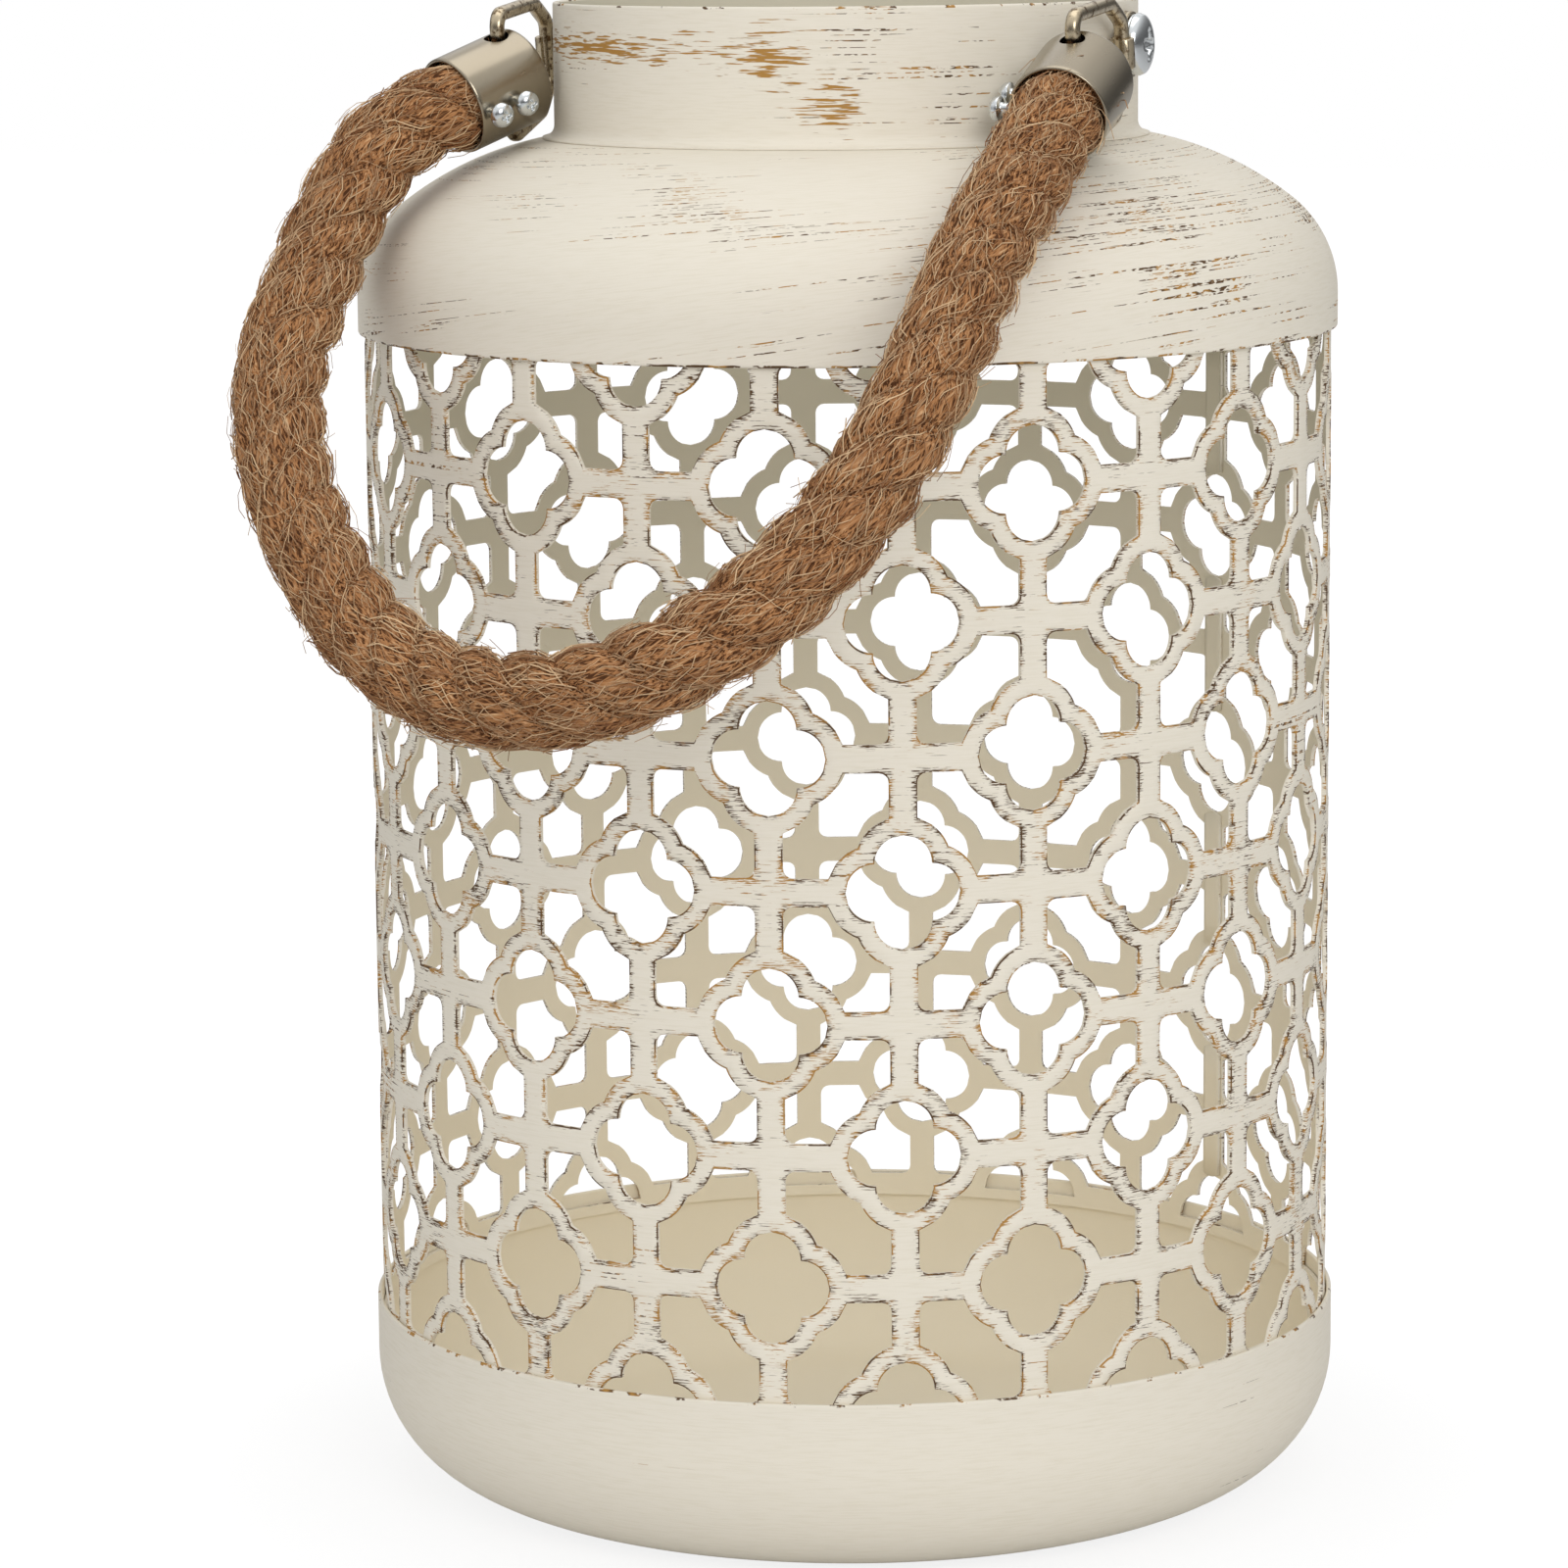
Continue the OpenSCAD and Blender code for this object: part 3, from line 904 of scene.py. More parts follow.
@dataclass(frozen=True)
class FibreFinish:
    """Single jute fibres, each with its own tint."""

    name: str
    light: Colour = srgb(236, 204, 162)
    dark: Colour = srgb(138, 88, 52)

    def build(self) -> bpy.types.Material:
        """Makes the material.

        Returns:
            The fibres' finish.
        """
        made, hand, shader = new_material(self.name)
        tint = mesh_value(hand, TINT)
        hand.feed(shader.inputs["Base Color"], hand.blend(tint, self.dark, self.light))
        shader.inputs["Roughness"].default_value = 0.8
        shader.inputs["Specular IOR Level"].default_value = 0.2
        return made


@dataclass
class Finishes:
    """Every finish of the lantern."""

    effects: Effects

    def __post_init__(self) -> None:
        """Builds the materials."""
        make = self.effects
        self.base = PaintFinish("base_paint", 3.1, 0.0).build(make)
        self.wall = PaintFinish(
            "wall_paint", 11.7, 0.3, edge_cover=0.5, line_cover=0.65
        ).build(make)
        self.shoulder = PaintFinish(
            "shoulder_paint", 7.4, 0.7, row_tilt=0.15, crown_share=0.8, line_cover=0.6
        ).build(make)
        scrapes = (Scrape(-34, 246.6, 38, 3.6), Scrape(7, 245, 8.5, 6), Scrape(18, 238, 6.5, 6))
        self.neck = PaintFinish("neck_paint", 21.9, 0.42, radius=48.3, scrapes=scrapes).build(make)
        self.nickel = MetalFinish(
            "polished_nickel", srgb(158, 148, 130), srgb(122, 108, 86), rough=0.2,
            stain_cover=0.3, grain_size=3.0, stretch=(1.0, 0.12, 1.0),
        ).build(make)
        self.ring = MetalFinish(
            "ring_nickel", srgb(190, 176, 150), srgb(96, 74, 48), rough=0.2,
            stain_cover=0.8, grain_size=1.2,
        ).build(make)
        self.zinc = MetalFinish(
            "bright_zinc", srgb(214, 218, 220), srgb(130, 132, 130), rough=0.14, stain_cover=0.4
        ).build(make)
        self.strand = StrandFinish("jute_strand").build(make)
        self.fibre = FibreFinish("jute_fibre").build()


def dress(
    piece: bpy.types.Object,
    finish: bpy.types.Material,
    body: Body,
    nodes: Iterable[str] = (),
) -> bpy.types.Object:
    """Gives a piece its finish and its place in the object.

    Args:
        piece: the piece's object.
        finish: its material.
        body: the body that it rides on.
        nodes: the solids that it replaces.

    Returns:
        The piece.
    """
    piece.data.materials.clear()
    piece.data.materials.append(finish)
    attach(piece, body.value)
    if nodes:
        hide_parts(*nodes)
    LOG.info("%s: %d faces on %s", piece.name, len(piece.data.polygons), body.value)
    return piece


# The painted shell


@dataclass
class Shell:
    """Base bowl, shoulder and neck, each turned from its own profile.

    The large sizes are read from the solids, and the curves' radii are fields.
    """

    finishes: Finishes
    sheet: float = 0.8
    bowl_r: float = 22.0
    skirt_h: float = 5.6
    side_r: float = 20.0
    crown_r: float = 55.0
    blend_angle: float = 52.0
    foot_r: float = 2.0
    lip_h: float = 5.0
    lip_gap: float = 0.1
    edge_r: float = 0.38
    rim_rows: tuple[float, float] = (2.2, 0.9)
    seat: float = 0.04
    segments: int = 256

    def __post_init__(self) -> None:
        """Reads the large sizes from the solids."""
        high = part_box("base_bowl")[1]
        self.rim_r = high.x / MM
        self.base_h = high.z / MM
        self.shoulder_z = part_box("shoulder_cap")[0].z / MM
        self.neck_r = self.rim_r - 33.7
        self.top_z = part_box("neck_collar")[1].z / MM
        self.side_c = (self.rim_r - self.side_r, self.shoulder_z + self.skirt_h)
        lean = math.radians(self.blend_angle)
        reach = self.crown_r - self.side_r
        self.crown_c = (
            self.side_c[0] - reach * math.cos(lean), self.side_c[1] - reach * math.sin(lean)
        )

    def crown_z(self, radius: float) -> float:
        """Height of the shoulder's crown at a radius."""
        return self.crown_c[1] + math.sqrt(self.crown_r**2 - (radius - self.crown_c[0]) ** 2)

    def rim(self, outer: float, level: float, up: int) -> list[tuple[float, float, float]]:
        """The rounded edge of a sheet rim, from its outer side to its inner side.

        Args:
            outer: the sheet's outer radius.
            level: the height of the rim's edge.
            up: 1 if the edge faces up and -1 if it faces down.

        Returns:
            Profile points with their wear weights.
        """
        r = self.edge_r
        inner = outer - self.sheet
        far, near = (level - up * depth for depth in self.rim_rows)
        points = [(outer, far, 0.0), (outer, near, 0.0), (outer, level - up * r, 0.8)]
        for centre, start in ((outer - r, 0), (inner + r, 90)):
            for radius, height in arc((centre, 0), r, start, start + 90, 4):
                points.append((radius, level - up * r + up * height, 1.0))
        return points + [(inner, near, 0.0), (inner, far, 0.0)]

    def base(self) -> bpy.types.Object:
        """The bowl that the wall stands in.

        Returns:
            The dressed piece.
        """
        floor_r = self.rim_r - self.bowl_r
        centre = (floor_r, self.bowl_r)
        profile = [(0.0, 0.0, 0.0), (floor_r * 0.5, 0.0, 0.0), (floor_r - 2, 0.0, 0.1)]
        bend = arc(centre, self.bowl_r, -90, 0, 20)
        profile += [(r, z, 0.2 if z < 1.5 else 0.0) for r, z in bend]
        profile += [(self.rim_r, z, 0.0) for z in (self.bowl_r + 3, self.bowl_r + 6)]
        profile += self.rim(self.rim_r, self.base_h, 1)
        profile += [(r, z, 0.0) for r, z in arc(centre, self.bowl_r - self.sheet, 0, -90, 20)]
        profile += [(floor_r * 0.5, self.sheet, 0.0), (0.0, self.sheet, 0.0)]
        piece = lathe("base_bowl_shell", profile, self.segments, False)
        return dress(piece, self.finishes.base, Body.SHELL, ["base_bowl"])

    def shoulder(self) -> bpy.types.Object:
        """The dome with its skirt, and the lip that it turns up inside the neck.

        Returns:
            The dressed piece.
        """
        lip_r = self.neck_r - self.sheet - self.lip_gap
        crease = self.crown_z(self.neck_r)
        join = math.degrees(math.acos((lip_r - self.crown_c[0]) / self.crown_r))
        inner_crown = self.crown_r - self.sheet
        inner = math.degrees(math.acos((lip_r - self.sheet - self.crown_c[0]) / inner_crown))
        profile = list(reversed(self.rim(self.rim_r, self.shoulder_z, -1)))
        outline = arc(self.side_c, self.side_r, 0, self.blend_angle, 20)
        outline += arc(self.crown_c, self.crown_r, self.blend_angle, join, 18)[1:]
        outline += [(lip_r, crease + self.lip_h), (lip_r - self.sheet, crease + self.lip_h)]
        outline += arc(self.crown_c, inner_crown, inner, self.blend_angle, 18)
        outline += arc(self.side_c, self.side_r - self.sheet, self.blend_angle, 0, 20)[1:]
        profile += [(r, z, 0.0) for r, z in outline]
        piece = lathe("shoulder_shell", profile, self.segments, True)
        return dress(piece, self.finishes.shoulder, Body.SHELL, ["shoulder_cap"])

    def neck(self) -> bpy.types.Object:
        """The collar, with a filleted foot that runs out onto the shoulder.

        Returns:
            The dressed piece.
        """
        inner = self.neck_r - self.sheet
        foot = self.neck_r + self.foot_r
        crease = self.crown_z(self.neck_r)
        seat = self.seat
        profile = [(inner, self.crown_z(inner) + seat, 0.0)]
        profile += [(r, self.crown_z(r) + seat, 0.0) for r in (self.neck_r, foot)]
        fillet = arc((foot, crease + self.foot_r), self.foot_r, -90, -180, 8)
        profile += [(r, max(z, self.crown_z(r) + seat), 0.0) for r, z in fillet]
        profile += [(self.neck_r, crease + 6.0, 0.0), (self.neck_r, self.top_z - 6.0, 0.0)]
        profile += self.rim(self.neck_r, self.top_z, 1)
        profile += [(inner, self.top_z - 8.0, 0.0), (inner, crease + 6.0, 0.0)]
        piece = lathe("neck_shell", profile, self.segments, True)
        return dress(piece, self.finishes.neck, Body.SHELL, ["neck_collar"])


Spoke = tuple[list[int], int, list[int]]


@dataclass
class PiercedWall:
    """The rolled wall: one column of its lattice is drawn flat, and a tree repeats and rolls it."""

    finishes: Finishes
    foils: int = 12
    rows: int = 9
    sheet: float = 0.8
    turn: float = 26.8
    seam_column: int = 8
    seam_w: float = 4.0
    lobe_off_share: float = 0.213
    foil_share: float = 0.217
    band_share: float = 0.36
    bar_share: float = 0.21
    fillet_share: float = 0.075

    def __post_init__(self) -> None:
        """Works out the lattice from the solid's size."""
        low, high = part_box("pierced_wall")
        self.wall_r = high.x / MM
        self.low_z = low.z / MM
        self.high_z = high.z / MM
        self.step = math.pi * self.wall_r / self.foils
        self.mid_z = (self.low_z + self.high_z) / 2
        self.first_row = self.mid_z - self.step * (self.rows - 1) / 2
        off = self.lobe_off_share * self.step
        self.rings = [(off, 0.0), (0.0, off)]

    @property
    def edge(self) -> list[tuple[float, float, float]]:
        """Section of a pierced edge: distance into the metal, depth below the face, wear."""
        return [(0.1, 0.0, 1.0), (0.0, 0.1, 1.0), (0.0, self.sheet, 0.0)]

    def ways(self) -> list[Place]:
        """Directions, seen from a cell's middle, in which its outlines are sampled."""
        p = self.step
        tip = (self.lobe_off_share + self.foil_share) * p
        low = self.bar_share / 2 * p
        off = self.lobe_off_share * p
        band_end = off + math.sqrt((self.band_share * p) ** 2 - low**2)
        corner = p - low - self.fillet_share * p
        marks = ((tip, 0), (band_end, low), (corner, low))
        seen = [math.degrees(math.atan2(y - p / 2, x - p / 2)) for x, y in marks]
        stops = [(-135.0, 9), (seen[0], 2), (seen[1], 3), (seen[2], 2), (-45.0, 0)]
        angles = []
        for (start, count), (end, _) in zip(stops, stops[1:]):
            angles += [start + (end - start) * i / count for i in range(count)]
        angles += [-90.0 - a for a in reversed(angles + [-45.0]) if a > -135.0]
        angles += [a + 180.0 for a in angles]
        return [(math.cos(math.radians(a)), math.sin(math.radians(a))) for a in angles]

    @staticmethod
    def meet(origin: Place, way: Place, centre: Place, radius: float, far: bool) -> float | None:
        """Where a ray meets a circle.

        Args:
            origin: the ray's start.
            way: its direction, of length 1.
            centre: the circle's centre.
            radius: the circle's radius.
            far: whether the second crossing is wanted.

        Returns:
            The distance along the ray, or None if it misses.
        """
        dx, dy = origin[0] - centre[0], origin[1] - centre[1]
        b = dx * way[0] + dy * way[1]
        c = dx * dx + dy * dy - radius * radius
        inside = b * b - c
        if inside < 0:
            return None
        reach = -b + math.sqrt(inside) if far else -b - math.sqrt(inside)
        return reach if reach > 0 else None

    def ring_circles(self, radius: float) -> list[tuple[Place, float]]:
        """The circles of the two rings that a cell touches."""
        p = self.step
        near = [(c, radius) for c in self.rings]
        return near + [((p - c[0], p - c[1]), radius) for c in self.rings]

    def gap_edge(self, way: Place) -> Place:
        """The point of a cell's opening in a direction from the cell's middle."""
        p = self.step
        mid = (p / 2, p / 2)
        half = p / 2 - self.bar_share / 2 * p
        reach = half / max(abs(way[0]), abs(way[1]))
        rho = self.fillet_share * p
        for sx, sy in ((1, -1), (-1, 1)):
            centre = (mid[0] + sx * (half - rho), mid[1] + sy * (half - rho))
            hit = self.meet(mid, way, centre, rho, True)
            if not hit:
                continue
            past = [m + w * hit - c for m, w, c in zip(mid, way, centre)]
            if sx * past[0] > 0 and sy * past[1] > 0:
                reach = min(reach, hit)
        for centre, radius in self.ring_circles(self.band_share * p):
            hit = self.meet(mid, way, centre, radius, False)
            reach = min(reach, hit or reach)
        return mid[0] + way[0] * reach, mid[1] + way[1] * reach

    def foil_edge(self, way: Place) -> tuple[Place, Place | None]:
        """The cell's outer limit in a direction: a side, or a quatrefoil's edge with its normal.

        Args:
            way: the direction from the cell's middle.

        Returns:
            The point, and the direction into the metal if it lies on a quatrefoil.
        """
        p = self.step
        mid = (p / 2, p / 2)
        reach = p / 2 / max(abs(way[0]), abs(way[1]))
        normals: list[Place] = []
        best = reach + 1e-6
        for centre, radius in self.ring_circles(self.foil_share * p):
            hit = self.meet(mid, way, centre, radius, False)
            if hit is None or hit > best + 1e-4:
                continue
            if hit < best - 1e-4:
                normals = []
            best = min(best, hit)
            point = (mid[0] + way[0] * hit, mid[1] + way[1] * hit)
            normals.append(((point[0] - centre[0]) / radius, (point[1] - centre[1]) / radius))
        point = (mid[0] + way[0] * min(best, reach), mid[1] + way[1] * min(best, reach))
        if not normals:
            return point, None
        total = (sum(n[0] for n in normals), sum(n[1] for n in normals))
        return point, (total[0] / len(normals), total[1] / len(normals))

    def cell(self, draft: Draft, column: int, row: int, mirrored: bool) -> None:
        """Draws the metal of one cell of the lattice, flat, with x along the wall and y up.

        Args:
            draft: where the cell goes.
            column: the cell's column in the drawn part.
            row: the cell's row.
            mirrored: whether the rings lie in its other two corners.
        """
        p = self.step

        def put(x: float, y: float, depth: float, wear: float) -> int:
            """Adds a point of the cell."""
            return draft.add(((p - x if mirrored else x) + column * p, y + row * p, -depth), wear)

        def rim(point: Place, inward: Place) -> list[int]:
            """Adds the points of a pierced edge."""
            (x, y), (to_x, to_y) = point, inward
            return [put(x + to_x * e, y + to_y * e, d, w) for e, d, w in self.edge]

        ways = self.ways()
        inner = [self.gap_edge(w) for w in ways]
        spokes = []
        for i, way in enumerate(ways):
            before, after = inner[i - 1], inner[(i + 1) % len(ways)]
            along = Vector((after[0] - before[0], after[1] - before[1])).normalized()
            near = rim(inner[i], (along.y, -along.x))
            point, inward = self.foil_edge(way)
            middle = put((inner[i][0] + point[0]) / 2, (inner[i][1] + point[1]) / 2, 0.0, 0.0)
            if inward is None:
                far = [put(*point, 0.0, 0.0), put(*point, self.sheet, 0.0)]
            else:
                far = rim(point, inward)
            spokes.append((near, middle, far))
        for first, second in zip(spokes, spokes[1:] + spokes[:1]):
            self.join(draft, first, second)

    @staticmethod
    def join(draft: Draft, first: Spoke, second: Spoke) -> None:
        """Joins two neighbouring spokes of a cell with faces.

        Args:
            draft: where the faces go.
            first: points of the opening's edge, a middle point, and points of the outer limit.
            second: the same of the next spoke.
        """
        (a, mid_a, d), (b, mid_b, c) = first, second
        for k in range(len(a) - 1):
            draft.faces.append((a[k], b[k], b[k + 1], a[k + 1]))
            if len(c) > 2 and len(d) > 2:
                draft.faces.append((d[k], c[k], c[k + 1], d[k + 1]))
        draft.faces.append((a[0], b[0], mid_b, mid_a))
        draft.faces.append((mid_a, mid_b, c[0], d[0]))
        draft.faces.append((a[-1], b[-1], c[-1], d[-1]))

    def band(self, draft: Draft, level: float, far: float) -> None:
        """Draws the plain band beyond the lattice's first or last row, over two columns.

        Args:
            draft: where the band goes.
            level: the height at which the lattice ends.
            far: the height of the wall's edge.
        """
        p = self.step
        tip = (self.lobe_off_share + self.foil_share) * p
        side = [self.foil_edge(w) for w in self.ways()]
        metal = sorted({round(pt[0], 6) for pt, n in side if n is None and abs(pt[1]) < 1e-6} | {p})
        metal = [tip + self.edge[0][0]] + [x for x in metal if x > tip + self.edge[0][0]]
        hole = [tip * i / 4 for i in range(5)]
        half = [(x, False) for x in hole] + [(x, True) for x in metal]
        stations = half + [(2 * p - x, m) for x, m in reversed(half[:-1])]
        corners = ((level, 0.0), (far, 0.0), (far, self.sheet), (level, self.sheet))
        rows = [[draft.add((x, y, -d)) for y, d in corners] for x, _ in stations]
        solid = [in_metal for _, in_metal in stations]
        for in_metal, also, a, b in zip(solid, solid[1:], rows, rows[1:]):
            for k in range(3):
                draft.faces.append((a[k], b[k], b[k + 1], a[k + 1]))
            if not (in_metal and also):
                draft.faces.append((a[3], b[3], b[0], a[0]))

    def column_unit(self) -> bpy.types.Object:
        """Two columns of cells over the whole height of the wall, flat.

        Returns:
            The drawn unit.
        """
        draft = Draft()
        for column in range(2):
            for row in range(self.rows - 1):
                self.cell(draft, column, row, (column + row) % 2 == 1)
        self.band(draft, 0.0, self.low_z - self.first_row)
        self.band(draft, self.step * (self.rows - 1), self.high_z - self.first_row)
        return draft.mesh("wall_column", merge=0.01)

    def roll_group(self) -> bpy.types.NodeTree:
        """The tree that sets columns side by side and rolls them into a cylinder.

        Returns:
            The geometry node group.
        """
        inputs = [
            Socket("Column", Value.GEOMETRY),
            Socket("Copies", Value.COUNT, 12),
            Socket("Radius", default=0.08),
            Socket("Low edge", default=0.03),
            Socket("Turn", default=0.0),
            Socket("Finish", Value.MATERIAL),
        ]
        hand, given, result = new_group(
            "roll_pierced_sheet", "GeometryNodeTree", inputs, [Socket("Geometry", Value.GEOMETRY)]
        )
        take = given.outputs
        around = hand.math("MULTIPLY", take["Radius"], math.tau)
        pitch = hand.math("DIVIDE", around, take["Copies"])
        offset = hand.add("ShaderNodeCombineXYZ", {0: pitch})
        line = hand.add("GeometryNodeMeshLine", {"Count": take["Copies"], "Offset": offset}, "Mesh")
        repeated = {"Points": line, "Instance": take["Column"]}
        copies = hand.add("GeometryNodeInstanceOnPoints", repeated, "Instances")
        flat = hand.add("GeometryNodeRealizeInstances", {"Geometry": copies}, "Geometry")
        place = hand.add("GeometryNodeInputPosition", out="Position")
        parts = hand.add("ShaderNodeSeparateXYZ", {0: place}).node.outputs
        angle = hand.math("ADD", hand.math("DIVIDE", parts[0], take["Radius"]), take["Turn"])
        radius = hand.math("ADD", take["Radius"], parts[2])
        round_place = hand.add("ShaderNodeCombineXYZ", {
            0: hand.math("MULTIPLY", radius, hand.math("COSINE", angle)),
            1: hand.math("MULTIPLY", radius, hand.math("SINE", angle)),
            2: hand.math("ADD", parts[1], take["Low edge"]),
        })
        moved = {"Geometry": flat, "Position": round_place}
        rolled = hand.add("GeometryNodeSetPosition", moved, "Geometry")
        near = {"Geometry": rolled, "Distance": 0.02 * MM}
        merged = hand.add("GeometryNodeMergeByDistance", near, "Geometry")
        hand.feed(result.inputs["Geometry"], set_material(hand, merged, take["Finish"]))
        return hand.tree

    def sheet_piece(self) -> bpy.types.Object:
        """The rolled and pierced wall.

        Returns:
            The dressed piece.
        """
        values = {
            "Copies": self.foils,
            "Radius": self.wall_r * MM,
            "Low edge": self.first_row * MM,
            "Turn": math.radians(self.turn - 90),
            "Finish": self.finishes.wall,
        }
        piece = run_geometry(self.column_unit(), self.roll_group(), values, "pierced_wall_sheet")
        sharpen(piece, 60)
        return dress(piece, self.finishes.wall, Body.SHELL, ["pierced_wall"])

    def seam_piece(self) -> bpy.types.Object:
        """The seam's inner lap: a strip behind one column, open at its quatrefoils.

        Returns:
            The dressed piece.
        """
        draft = Draft()
        p = self.step
        radius = self.foil_share * p
        tip = (self.lobe_off_share + self.foil_share) * p
        face = self.wall_r - self.sheet
        centre_a = math.radians(self.turn - 90) + self.seam_column * math.pi / self.foils
        ends = [self.low_z - self.first_row]
        for row in range(self.seam_column % 2, self.rows, 2):
            ends += [row * p - tip, row * p + tip]
        ends.append(self.high_z - self.first_row)
        ends = [max(ends[0], min(ends[-1], e)) for e in ends]
        across = [self.seam_w * (i / 6 - 0.5) for i in range(7)]
        for low, high in zip(ends[::2], ends[1::2]):
            if high - low < self.sheet:
                continue
            rows = []
            for share in (0.0, 0.25, 0.5, 0.75, 1.0):
                row = []
                for a in across + list(reversed(across)):
                    dip = radius - math.sqrt(radius**2 - a * a)
                    y = low + dip + (high - low - 2 * dip) * share
                    level = face + 0.02 if len(row) < len(across) else face - self.sheet
                    angle = centre_a + a / face
                    point = (level * math.cos(angle), level * math.sin(angle), y + self.first_row)
                    row.append(draft.add(point))
                rows.append(row)
            draft.loft(rows, True)
            draft.cap(rows)
        piece = draft.mesh("wall_seam_lap")
        return dress(piece, self.finishes.wall, Body.SHELL)


# The handle


@dataclass
class HandlePlan:
    """Where the handle's parts lie at rest, worked out as in the solids."""

    strap_l: float = 7.6
    strap_t: float = 1.4
    wire_d: float = 2.4
    run_gap: float = 0.05
    sheet: float = 0.8
    ring_l: float = 23.0
    ring_slope: float = 9.0
    pin_slope: float = 20.0
    ferrule_hang: float = 0.9
    ferrule_slope: float = 22.0
    pin_inset: float = 3.8
    left_lean: float = -29.0
    right_lean: float = 0.0
    left_ring_lean: float = -5.0
    right_ring_lean: float = 0.0

    def __post_init__(self) -> None:
        """Reads the straps' place, the pivots' height and the screws' ends from the solids."""
        self.strap_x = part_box("hinge_strap_right")[0].x / MM
        self.loop_r = self.wire_d / 2 + self.run_gap + self.sheet
        self.bar_x = self.strap_x + self.loop_r
        screw_low, screw_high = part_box("pivot_screw_right")
        self.pivot_z = (screw_low.z + screw_high.z) / 2 / MM
        self.screw_end = screw_low.x / MM
        self.screw_top = screw_high.x / MM

    def on_strap(self, side: Side, out: float, along: float, up: float) -> Vector:
        """A point in a strap's frame.

        Args:
            side: the handle's side.
            out: distance from the lantern's axis.
            along: distance from the pivot towards the ring.
            up: distance along the ring's bar.

        Returns:
            The point in the lantern's frame.
        """
        turn = Matrix.Rotation(math.radians(self.ring_slope), 3, "X")
        return Vector((0, 0, self.pivot_z)) + turn @ Vector((side.value * out, -along, up))

    def on_ring(self, side: Side, along: float, up: float, out: float = 0.0) -> Vector:
        """A point of a ring: along it from its bar, up from its middle, out of its plane."""
        lean = math.radians(self.left_ring_lean if side is Side.LEFT else self.right_ring_lean)
        x = self.bar_x + along * math.sin(lean) + out * math.cos(lean)
        down = self.strap_l + along * math.cos(lean) - out * math.sin(lean)
        return self.on_strap(side, x, down, up)

    def lean(self, side: Side) -> float:
        """How far a ferrule leans, in degrees."""
        return self.left_lean if side is Side.LEFT else self.right_lean

    def ferrule_turn(self, side: Side) -> Matrix:
        """Rotation from a ferrule's frame to the lantern's."""
        slope = Matrix.Rotation(math.radians(self.ferrule_slope), 3, "X")
        return slope @ Matrix.Rotation(math.radians(self.lean(side)), 3, "Z")

    def on_ferrule(self, side: Side, across: float, along: float, up: float) -> Vector:
        """A point in a ferrule's frame, whose origin is the middle of its closed end.

        Args:
            side: the handle's side.
            across: distance from its axis towards +X before it leans.
            along: distance from its closed end towards its mouth.
            up: distance above its axis.

        Returns:
            The point in the lantern's frame.
        """
        slope = Matrix.Rotation(math.radians(self.ring_slope), 3, "X")
        pins = self.on_ring(side, self.ring_l, 0.0) + slope @ Vector((0, 0, -self.ferrule_hang))
        return pins + self.ferrule_turn(side) @ Vector((across, self.pin_inset - along, up))


@dataclass(frozen=True)
class ScrewShape:
    """A pan-head screw with a cross recess."""

    shank_d: float
    length: float
    head_d: float
    head_h: float
    pitch: float = 0.7
    recess_share: float = 0.46
    slot_share: float = 0.13
    depth_share: float = 0.5
    steps: int = 48

    def draw(self, draft: Draft, place: Move) -> None:
        """Draws the screw, its head on z = 0 and its shank towards -Z.

        Args:
            draft: where the screw goes.
            place: moves a point of the screw to where it is.
        """
        radius = self.shank_d / 2
        rows: list[list[int]] = []

        def ring(size: float, level: float, wear: float = 0.0) -> list[int]:
            """Adds a round row of points."""
            return [
                draft.add(place(Vector((size * math.cos(a), size * math.sin(a), level))), wear)
                for a in turns(self.steps)
            ]

        core = radius - self.pitch * 0.3
        level = -self.length
        rows.append(ring(core * 0.5, level))
        rows.append(ring(core, level + self.pitch * 0.3))
        while level < -self.pitch * 1.5:
            rows.append(ring(core, level + self.pitch * 0.5))
            rows.append(ring(radius, level + self.pitch))
            level += self.pitch
        rows.append(ring(radius, 0.0))
        cap = self.head_d / 2
        rise = self.head_h
        for share, z in ((0.99, 0.0), (1.0, 0.06), (1.0, 0.2), (0.985, 0.27)):
            rows.append(ring(cap * share, rise * z, 0.6))
        for i in range(1, 26):
            share = 0.985 * (1 - i / 25)
            rows.append(self.dome_ring(draft, place, share))
        draft.loft(rows, True)
        draft.faces.append(tuple(rows[0]))

    def dome_ring(self, draft: Draft, place: Move, share: float) -> list[int]:
        """One ring of the domed top, sunk where the cross recess is."""
        cap = self.head_d / 2
        made = []
        for a in turns(self.steps):
            x, y = share * math.cos(a), share * math.sin(a)
            level = self.head_h * (0.27 + 0.73 * math.sqrt(max(0.0, 1 - (share / 0.99) ** 2.2)))
            long_side, short_side = max(abs(x), abs(y)), min(abs(x), abs(y))
            half_slot = self.slot_share * (1.15 - long_side)
            slot = 1 - min(1.0, max(0.0, (short_side - half_slot) / 0.05))
            reach = 1 - min(1.0, max(0.0, (long_side - self.recess_share) / 0.08))
            sunk = slot * reach
            deep = self.depth_share * self.head_h
            level -= sunk * deep * (1.1 - 0.6 * long_side / self.recess_share)
            made.append(draft.add(place(Vector((cap * x, cap * y, level))), 0.3 * sunk))
        return made


